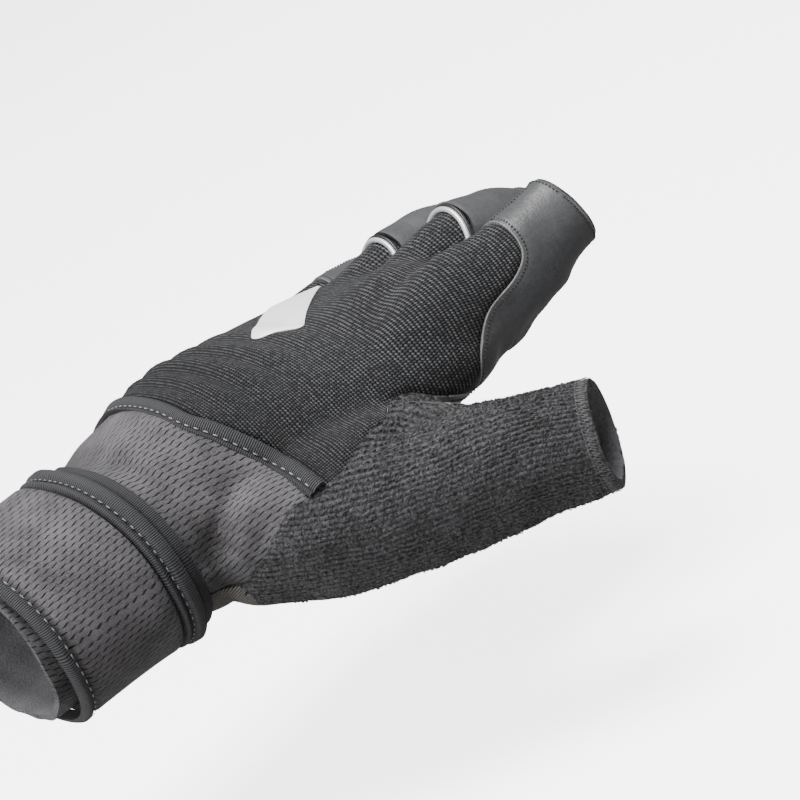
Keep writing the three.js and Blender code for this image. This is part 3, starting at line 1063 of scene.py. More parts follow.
@dataclass(frozen=True)
class Towelling:
    """Looped towelling, dark grey heather, in rows of small loops along the thumb."""

    row: float = 1.5
    loop: float = 0.8
    dark: tuple[float, float, float] = (0.009, 0.009, 0.0098)
    pale: tuple[float, float, float] = (0.13, 0.13, 0.135)

    def build(self) -> bpy.types.Material:
        """The material."""
        g = Graph("towelling")
        along, across, _ = g.threads()
        place = g.place()
        wander = (g.noise(place, 330, 2) - 0.5) * 0.9
        across = across + wander
        row = 1 - ((across * (1 / self.row) + 0.5).fraction() - 0.5).size() * 2
        number = (across * (1 / self.row) + 0.5).whole()
        step = along * (1 / self.loop) + number * 0.37 + wander * 1.3
        bead = (step * PI).sine().size()
        each = g.chance(number, step.whole())
        fuzz = g.noise(place, 2600, 3, 0.7)
        heather = g.noise(place, 1150, 2, 0.6)
        cloud = g.noise(place, 110, 2)
        ridge = row.eased(0.08, 0.75)
        tuft = ridge * (bead.eased(0.1, 0.8) * 0.6 + 0.4) * (each * 0.5 + 0.5)
        tone = tuft * 0.3 + (heather - 0.5) * 1.3 + (fuzz - 0.5) * 1.2 + (cloud - 0.5) * 0.3 + 0.1
        base = g.mix(self.dark, self.pale, tone.clamped())
        normal = g.bump(tuft * 0.6 + ridge * 0.2 + fuzz * 0.8 + heather * 0.8, 0.0005)
        return g.surface(
            Base_Color=base, Roughness=0.95, Normal=normal, Sheen_Weight=0.1, Sheen_Roughness=0.6,
            Specular_IOR_Level=0.04,
        )


@dataclass(frozen=True)
class Leather:
    """Fine-grained soft leather, with a pale raw edge where it is sewn on."""

    name: str = "leather"
    tone: tuple[float, float, float] = (0.078, 0.079, 0.082)
    deep: tuple[float, float, float] = (0.029, 0.0295, 0.0315)
    raw: tuple[float, float, float] = (0.17, 0.17, 0.163)

    def build(self) -> bpy.types.Material:
        """The material."""
        g = Graph(self.name)
        along, across, edge = g.threads()
        place = g.place()
        pores = g.cells(place, 1500)
        grain = g.noise(place, 700, 4, 0.6)
        cloud = g.noise(place, 60, 3)
        crease = g.noise(g.vector(along * 0.4, across * 0.12, 0.0), 1.1, 4, 0.65)
        tone = (cloud * 0.9 + grain * 0.35 - pores * 0.25 + (crease - 0.5) * 0.5).clamped()
        base = g.mix(self.deep, self.tone, tone)
        worn = g.mix(base, self.tone, (1 - edge.eased(0.4, 3.0)) * 0.35)
        raw = (1 - edge.eased(0.12, 0.34)) * (g.noise(place, 1500, 2) * 0.7 + 0.6)
        coloured = g.mix(worn, self.raw, raw.clamped())
        normal = g.bump(grain * 0.6 - pores * 0.5 + crease * 0.7, 0.00009)
        return g.surface(
            Base_Color=coloured, Roughness=(0.46 + (grain - 0.5) * 0.25 + raw * 0.3).clamped(), Normal=normal,
            Specular_IOR_Level=0.4,
        )


@dataclass(frozen=True)
class KnitMesh:
    """Knitted mesh with rows of small dark slits along the arm, grey with a warm tint."""

    slit: float = 3.0
    rows: float = 1.66
    hole: tuple[float, float, float] = (0.006, 0.0055, 0.006)
    dark: tuple[float, float, float] = (0.02, 0.019, 0.02)
    pale: tuple[float, float, float] = (0.165, 0.156, 0.163)

    def build(self) -> bpy.types.Material:
        """The material."""
        g = Graph("knit_mesh")
        along, around, _ = g.threads()
        place = g.place()
        first = along + (g.noise(place, 150, 2) - 0.5) * 1.1
        second = around + (g.noise(place, 170, 2) - 0.5) * 0.7
        row = (second * (1 / self.rows)).whole()
        across = (first * (1 / self.slit) + row * 0.5).fraction() - 0.5
        line = (second * (1 / self.rows)).fraction() - 0.5 + (across * (2 * PI)).sine() * 0.08
        each = g.noise(g.vector(first * 0.45, row * 1.7, 0.0), 1.0, 1)
        reach = (across * (self.slit / 1.15)) ** 2 + (line * (self.rows / 0.22)) ** 2
        hole = (1 - reach.eased(0.3, 1.3)) * (each * 0.9 + 0.45).clamped()
        strands = g.noise(g.vector(first * 1.1, second * 4.5, 0.0), 1.0, 3, 0.65)
        fuzz = g.noise(place, 2400, 3, 0.7)
        cloud = g.noise(place, 75, 3)
        swell = (line * 2).size().eased(0.0, 0.5)
        tone = strands * 0.8 + fuzz * 1.0 + swell * 0.1 + (cloud - 0.5) * 1.0 - 0.62
        base = g.mix(g.mix(self.dark, self.pale, tone.clamped()), self.hole, hole)
        height = swell * 0.12 + strands * 0.45 + fuzz * 0.5 - hole * 1.3
        normal = g.bump(height, 0.00042)
        return g.surface(
            Base_Color=base, Roughness=(0.72 + hole * 0.25), Normal=normal, Sheen_Weight=0.12,
            Sheen_Roughness=0.35, Sheen_Tint=(0.9, 0.87, 0.92, 1), Specular_IOR_Level=0.2,
        )


@dataclass(frozen=True)
class Tape:
    """Black woven tape with fine ribs across its length."""

    rib: float = 0.62
    dark: tuple[float, float, float] = (0.006, 0.006, 0.007)
    pale: tuple[float, float, float] = (0.062, 0.063, 0.067)

    def build(self) -> bpy.types.Material:
        """The material."""
        g = Graph("tape")
        along, across, _ = g.threads()
        place = g.place()
        rib = ((along + (g.noise(place, 300, 2) - 0.5) * 0.12) * (PI / self.rib)).sine().size()
        weave = (across * (PI / 0.34)).sine().size()
        fuzz = g.noise(place, 1800, 2)
        tone = (rib.eased(0.45, 1.0) * (weave * 0.25 + 0.75) * (fuzz * 0.8 + 0.5)).clamped()
        base = g.mix(self.dark, self.pale, tone)
        normal = g.bump(rib * 0.8 + weave * 0.15 + fuzz * 0.15, 0.00024)
        return g.surface(
            Base_Color=base, Roughness=0.7 + (fuzz - 0.5) * 0.2, Normal=normal, Sheen_Weight=0.05,
            Sheen_Roughness=0.4, Specular_IOR_Level=0.2,
        )


@dataclass(frozen=True)
class HeelKnit:
    """Ribbed knit at the heel of the hand, grey with a brown tint."""

    dark: tuple[float, float, float] = (0.012, 0.0112, 0.01)
    pale: tuple[float, float, float] = (0.15, 0.14, 0.125)

    def build(self) -> bpy.types.Material:
        """The material."""
        g = Graph("heel_knit")
        along, across, _ = g.threads()
        place = g.place()
        bend = (g.noise(place, 60, 2) - 0.5) * 2
        rib = ((across * 0.7 + along * 0.7 + bend) * (PI / 0.85)).sine().size()
        stitch = (along * (PI / 0.6)).sine().size()
        fuzz = g.noise(place, 1500, 2)
        tone = (rib.eased(0.15, 0.95) * 0.75 + stitch * 0.12 + (fuzz - 0.5) * 0.5).clamped()
        normal = g.bump(rib * 0.8 + stitch * 0.2 + fuzz * 0.2, 0.0003)
        return g.surface(
            Base_Color=g.mix(self.dark, self.pale, tone), Roughness=0.9, Normal=normal, Sheen_Weight=0.1,
            Sheen_Roughness=0.5, Specular_IOR_Level=0.1,
        )


@dataclass(frozen=True)
class SilverFabric:
    """Bright silver coated cloth with a soft wrinkle and darker edges."""

    name: str = "silver_fabric"
    tone: tuple[float, float, float] = (0.96, 0.97, 0.98)
    worn: tuple[float, float, float] = (0.82, 0.82, 0.84)
    metal: float = 0.1

    def build(self) -> bpy.types.Material:
        """The material."""
        g = Graph(self.name)
        along, across, edge = g.threads()
        place = g.place()
        weave = (along * (PI / 0.35)).sine().size() * (across * (PI / 0.35)).sine().size()
        cloud = g.noise(place, 120, 3)
        fine = g.noise(place, 1300, 2)
        rub = ((cloud - 0.45).eased(0.0, 0.35) * 0.35 + (1 - edge.eased(0.1, 0.9)) * 0.3).clamped()
        base = g.mix(self.tone, self.worn, rub)
        normal = g.bump(weave * 0.4 + fine * 0.5 + cloud * 1.5, 0.00005)
        return g.surface(
            Base_Color=base, Roughness=(0.34 + (fine - 0.5) * 0.2 + rub * 0.2), Metallic=self.metal,
            Normal=normal, Specular_IOR_Level=0.5,
        )


@dataclass(frozen=True)
class Thread:
    """Twisted sewing thread."""

    name: str
    tone: tuple[float, float, float]

    def build(self) -> bpy.types.Material:
        """The material."""
        g = Graph(self.name)
        place = g.place()
        twist = g.noise(place, 2600, 2)
        base = g.mix(tuple(0.45 * c for c in self.tone), self.tone, twist.eased(0.3, 0.6))
        return g.surface(
            Base_Color=base, Roughness=(0.6 + (twist - 0.5) * 0.3), Normal=g.bump(twist, 0.00006),
            Sheen_Weight=0.3, Specular_IOR_Level=0.3,
        )


@dataclass(frozen=True)
class Lining:
    """Dark brushed lining inside the glove."""

    def build(self) -> bpy.types.Material:
        """The material."""
        g = Graph("lining")
        place = g.place()
        nap = g.noise(place, 1400, 3, 0.65)
        base = g.mix((0.04, 0.04, 0.043), (0.17, 0.17, 0.178), nap)
        return g.surface(
            Base_Color=base, Roughness=0.95, Normal=g.bump(nap, 0.0003), Sheen_Weight=0.2,
            Specular_IOR_Level=0.1,
        )


class Finish(Enum):
    """The finishes that a piece can have."""

    CANVAS = Canvas()
    TOWELLING = Towelling()
    LEATHER = Leather()
    # Darker copy of the leather for the rolled hems and the rims behind the piping: partly a dark painted
    # edge, partly painted shade on the rolled underside and under the piping.
    HEM = Leather("hem_leather", (0.02, 0.02, 0.0215), (0.007, 0.007, 0.008), (0.02, 0.02, 0.0215))
    KNIT_MESH = KnitMesh()
    TAPE = Tape()
    HEEL_KNIT = HeelKnit()
    SILVER = SilverFabric()
    OVERLOCK = Thread("overlock_thread", (0.1, 0.1, 0.102))
    PIPING = SilverFabric("silver_piping", (0.66, 0.67, 0.68), (0.34, 0.34, 0.35), 0.5)
    BLACK_THREAD = Thread("black_thread", (0.006, 0.006, 0.0065))
    GREY_THREAD = Thread("grey_thread", (0.2, 0.2, 0.2))
    LINING = Lining()


class Wardrobe:
    """Makes each finish once."""

    def __init__(self) -> None:
        """Starts with none made."""
        self.made: dict[str, bpy.types.Material] = {}

    def get(self, finish: Finish) -> bpy.types.Material:
        """The material of a finish."""
        if finish.name not in self.made:
            self.made[finish.name] = finish.value.build()
        return self.made[finish.name]


# ---------------------------------------------------------------- pieces


@dataclass
class Workshop:
    """What the sub-assemblies share: the skin, its zones, the chart and the finishes."""

    skin: Skin
    zones: Zones
    chart: BodyChart
    wardrobe: Wardrobe = field(default_factory=Wardrobe)

    def finish(
        self, name: str, bm: BM, finishes: Sequence[Finish], slot: str,
        node: Optional[str] = None,
    ) -> bpy.types.Object:
        """Turns a bmesh into a piece of the glove.

        Args:
            name: the piece's name.
            bm: its mesh in millimetres, which is freed.
            finishes: its finishes, by material number.
            slot: the record's material slot; not used.
            node: the CAD node that it stands for.

        Returns:
            The piece.
        """
        bmesh.ops.scale(bm, vec=(MM, MM, MM), verts=bm.verts)
        mesh = mesh_of(bm, name)
        mesh.shade_smooth()
        mesh.set_sharp_from_angle(angle=SHARP)
        for finish in finishes:
            mesh.materials.append(self.wardrobe.get(finish))
        piece = added(name, mesh)
        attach(piece, "root")
        if node:
            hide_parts(node)
        triangles = sum(len(p.vertices) - 2 for p in mesh.polygons)
        log.info("%s: %d triangles", name, triangles)
        return piece

    def weave(self, bm: BM, along: Array, across: Array, edge: Array | float = 9.0) -> None:
        """Writes the lengths along and across the cloth and the distance from its edge on every vertex."""
        layer = bm.verts.layers.float_vector.get("threads") or bm.verts.layers.float_vector.new("threads")
        edge = np.broadcast_to(np.asarray(edge, float), np.shape(along))
        for v, a, b, c in zip(bm.verts, along, across, edge):
            v[layer] = (a, b, c)


def cut_panel(mesh: bpy.types.Mesh, values: Array) -> BM:
    """Cuts the part of a surface where a value is below 0, along a smooth line.

    Args:
        mesh: the surface.
        values: the value at each of its vertices.

    Returns:
        The panel, with the value kept in the float layer "inside".
    """
    bm = bmesh.new()
    bm.from_mesh(mesh)
    layer = bm.verts.layers.float.new("inside")
    for v, value in zip(bm.verts, values):
        v[layer] = value
    outside = [f for f in bm.faces if all(v[layer] >= 0 for v in f.verts)]
    bmesh.ops.delete(bm, geom=outside, context="FACES")
    crossing = [e for e in bm.edges if (e.verts[0][layer] < 0) != (e.verts[1][layer] < 0)]
    border = set()
    for edge in crossing:
        a, b = edge.verts
        share = a[layer] / (a[layer] - b[layer])
        _, made = bmesh.utils.edge_split(edge, a, float(np.clip(share, 0.02, 0.98)))
        made[layer] = 0.0
        border.add(made)
    for f in [f for f in bm.faces if sum(v in border for v in f.verts) >= 2]:
        if not f.is_valid:
            continue
        verts = [v for v in f.verts if v in border]
        if len(verts) == 2 and not bm.edges.get(verts):
            bmesh.utils.face_split(f, verts[0], verts[1])
        elif len(verts) > 2:
            bmesh.ops.connect_verts(bm, verts=verts)
    away = [f for f in bm.faces if sum(v[layer] for v in f.verts if v not in border) > 0]
    bmesh.ops.delete(bm, geom=away, context="FACES")
    bm.normal_update()
    return bm


def depth_inside(bm: BM) -> Array:
    """How far each vertex of a cut panel lies inside its seams."""
    layer = bm.verts.layers.float["inside"]
    return -np.array([v[layer] for v in bm.verts])


def square_end(bm: BM, point: Array, way: Array, reach: float) -> None:
    """Cuts a panel square at an opening.

    Args:
        bm: the panel.
        point: the opening's centre.
        way: the direction out of it.
        reach: how far from the centre the cut works.
    """
    near = [f for f in bm.faces if np.linalg.norm(np.array(f.calc_center_median()) - point) < reach]
    geom = {*near, *(e for f in near for e in f.edges), *(v for f in near for v in f.verts)}
    bmesh.ops.bisect_plane(
        bm, geom=list(geom), plane_co=Vector(point), plane_no=Vector(way), clear_outer=True, dist=1e-4
    )


def keep_largest(bm: BM) -> None:
    """Deletes the crumbs of a cut, so that one panel stays."""
    bm.faces.ensure_lookup_table()
    left, groups = set(bm.faces), []
    while left:
        stack, group = [left.pop()], []
        while stack:
            face = stack.pop()
            group.append(face)
            for edge in face.edges:
                for other in edge.link_faces:
                    if other in left:
                        left.remove(other)
                        stack.append(other)
        groups.append(group)
    groups.sort(key=len)
    for group in groups[:-1]:
        bmesh.ops.delete(bm, geom=group, context="FACES")
    loose = [v for v in bm.verts if not v.link_faces]
    bmesh.ops.delete(bm, geom=loose, context="VERTS")


def edge_lines(bm: BM) -> list[tuple[Array, Array]]:
    """The border lines of an open panel.

    Args:
        bm: the panel.

    Returns:
        The points and surface normals of each closed border, in order, the longest first.
    """
    follow: dict[bmesh.types.BMVert, bmesh.types.BMVert] = {}
    for edge in bm.edges:
        if edge.is_boundary:
            loop = edge.link_loops[0]
            follow[loop.vert] = loop.link_loop_next.vert
    lines = []
    while follow:
        start, at = next(iter(follow.items()))
        chain = [start]
        while at in follow and at != start:
            chain.append(at)
            at = follow[at]
        for v in chain:
            follow.pop(v, None)
        lines.append((np.array([v.co for v in chain]), np.array([v.normal for v in chain])))
    lines.sort(key=lambda line: -len(line[0]))
    return lines


class Panels:
    """The cloth, towelling and leather panels that are cut from the skin and sewn edge to edge."""

    TUCK = 0.55
    TUCK_WIDTH = 0.9
    LEATHER_LIFT = 0.42
    SEAM_NEAR = 0.9

    def __init__(self, shop: Workshop) -> None:
        """Works out every zone at the skin's points."""
        self.shop = shop
        points = shop.skin.points
        zones = shop.zones
        self.cuff = zones.cuff(points)
        self.thumb = zones.thumb(points)
        self.back = zones.back(points)
        self.heel = zones.heel(points)
        self.wraps = {finger.name: zones.wrap(points, finger) for finger in FINGERS}
        self.lines: dict[str, list[tuple[Array, Array]]] = {}

    def _lift(self, bm: BM, raised: float, tuck: float, shape: Array) -> Array:
        """Raises a panel and turns its sewn edge in.

        Args:
            bm: the panel.
            raised: how far it stands off the skin.
            tuck: how deep its edge dips.
            shape: how far folds and creases lift each vertex.

        Returns:
            The distance of each vertex from the panel's seams.
        """
        inside = depth_inside(bm)
        dip = tuck * np.exp(-((inside / self.TUCK_WIDTH) ** 2))
        for v, way, move in zip(bm.verts, [v.normal.copy() for v in bm.verts], raised - dip + shape):
            v.co += way * float(move)
        return inside

    def _panel(
        self, name: str, values: Array, finish: Finish, slot: str, wall: float, raised: float = 0.0,
        tuck: float = TUCK, ends: Sequence[tuple[Array, Array, float]] = (),
        threads: Optional[Callable[[Array], tuple[Array, Array]]] = None,
        edge: Optional[Field] = None, shape: Optional[Field] = None,
    ) -> bpy.types.Object:
        """Cuts, shapes and thickens one panel.

        Args:
            name: the CAD node that it stands for.
            values: the zone's value at the skin's points.
            finish: its outer finish.
            slot: the record's material slot.
            wall: its thickness.
            raised: how far it lies over its neighbours.
            tuck: how deep its sewn edge dips.
            ends: openings that it is cut square at, as centre, direction and reach.
            threads: gives the lengths along and across the cloth.
            edge: gives the distance from the edge that is marked, or else any seam is.
            shape: gives how far folds and creases lift the panel.

        Returns:
            The piece.
        """
        bm = cut_panel(self.shop.skin.mesh, values)
        for centre, way, reach in ends:
            square_end(bm, centre, way, reach)
        keep_largest(bm)
        bm.normal_update()
        flat = vertex_places(bm)
        moved = shape(flat) if shape else np.zeros(len(flat))
        inside = self._lift(bm, raised, tuck, moved)
        bm.normal_update()
        self.lines[name] = edge_lines(bm)
        along, across = (threads or self.shop.chart.threads)(flat)
        self.shop.weave(bm, along, across, edge(flat) if edge else inside)
        return thicken(self.shop, name, bm, finish, slot, wall)

    def cloth_edge(self, places: Array) -> Array:
        """How far leather lies from the cloth that it is sewn on."""
        zones = self.shop.zones
        return np.minimum.reduce([zone(places) for zone in (zones.back, zones.thumb, zones.cuff, zones.heel)])

    @staticmethod
    def ripple(places: Array, size: float, rise: float) -> Array:
        """Uneven lumps of a soft surface.

        Args:
            places: where.
            size: about how wide a lump is.
            rise: the most that it lifts.

        Returns:
            The lift at each place.
        """
        return np.array([rise * noise.noise(Vector(p) / size) for p in places])

    def leather_creases(self, places: Array) -> Array:
        """Soft lumps of the leather, more under the index finger, and the groove of its stitches."""
        under = smooth((12 - places[:, 2]) / 10) * smooth((places[:, 0] - 140) / 10)
        groove = np.exp(-(((self.cloth_edge(places) - 1.35) / 0.55) ** 2))
        lumps = (0.25 + 0.9 * under) * self.ripple(places, 7.0, 0.9) + self.ripple(places, 2.2, 0.07)
        for name, degrees in SIDE_SEAMS.items():
            limb = self.shop.skin.fingers[name]
            _, angle = limb.nearest(places)
            near = np.linalg.norm(places[:, 1:] - limb.points[2, 1:], axis=1) < 26
            away = np.radians(angle - degrees) * 11.5
            groove = groove + np.where(near & (places[:, 0] > 150), 2.4 * np.exp(-((away / 0.55) ** 2)), 0.0)
            centre, way, _ = self.opening(limb)
            hem = (places - centre) @ way
            close = np.linalg.norm(places - centre, axis=1) < 24
            lumps = lumps - np.where(close, 0.6 * np.clip(1 + hem / 1.5, 0, 1) ** 2, 0.0)
        return lumps - 0.16 * groove

    def cuff_threads(self, places: Array) -> tuple[Array, Array]:
        """Lengths along and across the mesh, which is cut on the bias."""
        along, around = self.shop.chart.threads(places)
        return 0.9 * along + 0.4 * around, 0.9 * around - 0.4 * along

    def cuff_drape(self, places: Array) -> Array:
        """Soft folds of the mesh where it meets the strap and the tape."""
        x, z = places[:, 0], places[:, 2]
        side = smooth((12 - places[:, 1]) / 20)
        below = -self.shop.zones.cuff(places)
        ridge = np.exp(-(((below - 6.5) / 3.2) ** 2)) * 1.3
        shade = np.exp(-(((below - 1.6) / 1.6) ** 2)) * 0.5
        dip = np.exp(-(((x - 53.5 + 0.1 * (z - 10)) / 2.4) ** 2)) * 1.0
        crease = np.exp(-(((x - 57.5 + 0.45 * (z + 2)) / 1.7) ** 2)) * smooth((6 - z) / 8) * 0.9
        return side * (ridge - shade - dip - crease) + self.ripple(places, 9.0, 0.8)

    @staticmethod
    def opening(limb: Limb, lean: Sequence[float] = (0.0, 0.0, 0.0)) -> tuple[Array, Array, float]:
        """The opening at a limb's end, whose hem may lean off square."""
        ahead, _, _ = limb.axes(np.array([1.0]))
        return limb.at(np.array([1.0]))[0], unit(ahead[0] + np.array(lean)), OPENING_REACH

    def hem_lines(
        self, name: str, limb: Limb, lean: Sequence[float] = (0.0, 0.0, 0.0)
    ) -> list[tuple[Array, Array]]:
        """The borders of a piece that lie at its limb's opening, with their normals."""
        centre, way, _ = self.opening(limb, lean)
        return [line for line in self.lines[name] if np.abs((line[0] - centre) @ way).max() < HEM_NEAR]

    def sew(self) -> None:
        """Sews the leather along its raw edge and round its hems, and overlocks the thumb's hem."""
        black = Stitches(self.shop)
        for name in ("index_wrap", "little_wrap", "palm_panel"):
            for points, normals in self.lines[name]:
                if len(points) < 40:
                    continue
                on_back = np.abs(self.shop.zones.back(points)) < self.SEAM_NEAR
                if on_back.sum() > 20:
                    black.row(longest_run(points, normals, on_back), 1.35, RAW_EDGE_SEWING)
        for finger in CLOSED_FINGERS:
            for line in self.hem_lines(f"{finger.name}_wrap", self.shop.skin.fingers[finger.name]):
                black.row(closed(*line), 1.5, HEM_SEWING)
        for name, degrees in SIDE_SEAMS.items():
            limb = self.shop.skin.fingers[name]
            t = np.linspace(limb.place_of_x(178 if name == "index" else 158), 0.985, 60)
            seam, up = self.shop.skin.project(limb.point(t, np.full(60, degrees + 5.5)), self.LEATHER_LIFT)
            black.lay(seam, up, SIDE_SEWING)
        black.build("leather_stitches", Finish.BLACK_THREAD, "tape")
        grey = Stitches(self.shop)
        for line in self.hem_lines("thumb_stall", self.shop.skin.thumb, HEM_LEAN):
            for inset, sewing in OVERLOCK_ROWS:
                grey.row(closed(*line), inset, sewing)
        grey.build("thumb_overlock", Finish.OVERLOCK, "towelling")

    def build(self) -> None:
        """Makes every panel of the skin."""
        skin = self.shop.skin
        hand = both(-self.cuff, -self.thumb)
        wrist = (np.array([0.0, 0, 0]), np.array([-1.0, 0, 0]), 60.0)
        self._panel("cuff", self.cuff, Finish.KNIT_MESH, "mesh", WALL, ends=[wrist],
                    threads=self.cuff_threads, shape=self.cuff_drape)
        stall = self._panel(
            "thumb_stall", both(self.thumb, -self.cuff), Finish.TOWELLING, "towelling", TERRY_WALL,
            ends=[self.opening(skin.thumb, HEM_LEAN)], threads=skin.thumb_threads, tuck=0.5, raised=0.1,
            shape=lambda places: self.ripple(places, 9.0, 0.5) + self.ripple(places, 1.3, 0.22),
        )
        self._panel("back_panel", both(self.back, hand), Finish.CANVAS, "canvas", WALL)
        under = both(hand, -self.back)
        self._panel("heel_rib", both(self.heel, under), Finish.HEEL_KNIT, "rib_knit", WALL)
        wraps = np.minimum.reduce(list(self.wraps.values()))
        self._panel("palm_panel", both(under, -self.heel, -wraps), Finish.LEATHER, "leather", WALL,
                    raised=self.LEATHER_LIFT, tuck=0.2, edge=self.cloth_edge, shape=self.leather_creases)
        for finger in CLOSED_FINGERS:
            values = both(self.wraps[finger.name], under, -self.heel)
            self._panel(f"{finger.name}_wrap", values, Finish.LEATHER, "leather", WALL,
                        raised=self.LEATHER_LIFT, tuck=0.15, edge=self.cloth_edge,
                        ends=[self.opening(skin.fingers[finger.name])], shape=self.leather_creases)
        self.sew()
        for finger in CLOSED_FINGERS:
            for points, normals in self.hem_lines(f"{finger.name}_wrap", skin.fingers[finger.name]):
                roll_hem(self.shop, finger.name, points, normals)
        TowelLoops(self.shop, stall).build()


def thicken(
    shop: Workshop, name: str, bm: BM, finish: Finish, slot: str, wall: float
) -> bpy.types.Object:
    """Gives an open panel its wall, lined on the inside.

    Args:
        shop: the shared workshop.
        name: the CAD node that it stands for.
        bm: the panel, which is freed.
        finish: its outer finish.
        slot: the record's material slot.
        wall: its thickness.

    Returns:
        The piece.
    """
    piece = shop.finish(f"{name}_cover", bm, [finish, Finish.LINING], slot, name)
    shell = piece.modifiers.new("wall", "SOLIDIFY")
    shell.thickness = wall * MM
    shell.offset = -1
    shell.material_offset = 1
    settle(piece)
    return piece


def roll_hem(shop: Workshop, name: str, points: Array, normals: Array) -> None:
    """Rolls leather over a finger's hem, darkened partly as a dark painted edge and partly as painted shade
    on its rolled underside.

    Args:
        shop: the shared workshop.
        name: the finger's name.
        points: the hem's closed line.
        normals: the directions outwards there.
    """
    ring = np.vstack([points, points[:3]])
    outwards = np.vstack([normals, normals[:3]])
    even = resample(np.hstack([ring, outwards]), 0.8)
    path, up = even[:, :3], unit(even[:, 3:])
    path = soften(path, 2) - up * 0.62
    bm = sweep(path, up, round_section(0.78), 12)
    shop.weave(bm, *sweep_threads(bm, path))
    shop.finish(f"{name}_hem", bm, [Finish.HEM], "leather")


def settle(piece: bpy.types.Object) -> None:
    """Works a piece's modifiers into its mesh."""
    graph = bpy.context.evaluated_depsgraph_get()
    done = bpy.data.meshes.new_from_object(piece.evaluated_get(graph))
    piece.modifiers.clear()
    piece.data = done
    done.shade_smooth()
    done.set_sharp_from_angle(angle=SHARP)


def closed(points: Array, normals: Array) -> tuple[Array, Array]:
    """A closed line with its first point repeated at its end, and its normals."""
    return np.vstack([points, points[:1]]), np.vstack([normals, normals[:1]])


def longest_run(points: Array, normals: Array, keep: Array) -> tuple[Array, Array]:
    """The longest unbroken stretch of a closed line.

    Args:
        points: the line's points.
        normals: the normals there.
        keep: which points may be in it.

    Returns:
        The stretch's points and normals.
    """
    if keep.all():
        return closed(points, normals)
    start = int(np.argmin(keep))
    order = np.roll(np.arange(len(points)), -start)
    runs, run = [], []
    for i in order:
        if keep[i]:
            run.append(i)
        elif run:
            runs.append(run)
            run = []
    runs.append(run)
    best = max(runs, key=len)
    return points[best], normals[best]


class Stitches:
    """Rows of small thread stitches that become one piece."""

    def __init__(self, shop: Workshop) -> None:
        """Starts without stitches."""
        self.shop = shop
        self.batch = Batch()

    def row(self, line: tuple[Array, Array], inset: float, sewing: Sewing) -> None:
        """Sews one row.

        Args:
            line: a panel's border and its normals, with the panel on its left.
            inset: how far inside the border the row runs.
            sewing: its stitches.
        """
        points, normals = line
        ahead = tangents(points)
        inward = unit(np.cross(normals, ahead))
        moved = soften(points + inward * inset, 4)
        near, skin_up = self.shop.skin.project(moved)
        height = ((moved - near) * skin_up).sum(axis=1)
        self.lay(near + skin_up * np.clip(height, -0.4, 1.2)[:, None], normals, sewing)

    def lay(self, line: Array, normals: Array, sewing: Sewing) -> None:
        """Lays stitches on a line of points, with the directions outwards there."""
        both_ways = resample(np.hstack([line, normals]), sewing.pitch)
        path, up = both_ways[:, :3], unit(both_ways[:, 3:])
        ahead = tangents(path)
        turn = np.radians(sewing.turn)
        c, s = float(np.cos(turn)), float(np.sin(turn))
        for p, n, a in zip(path[1:-1], up[1:-1], ahead[1:-1]):
            side = unit(np.cross(n, a))
            a, side = a * c + side * s, side * c - a * s
            columns = np.column_stack([
                side * sewing.radius, n * sewing.radius * 0.8, a * sewing.length / 2, p + n * sewing.lift,
            ])
            matrix = Matrix([*columns.tolist(), [0, 0, 0, 1]])
            bm = self.batch.next()
            bmesh.ops.create_uvsphere(bm, u_segments=6, v_segments=4, radius=1, matrix=matrix)

    def build(self, name: str, finish: Finish, slot: str) -> bpy.types.Object:
        """Turns the rows into a piece."""
        return self.shop.finish(name, self.batch.whole(), [finish], slot)


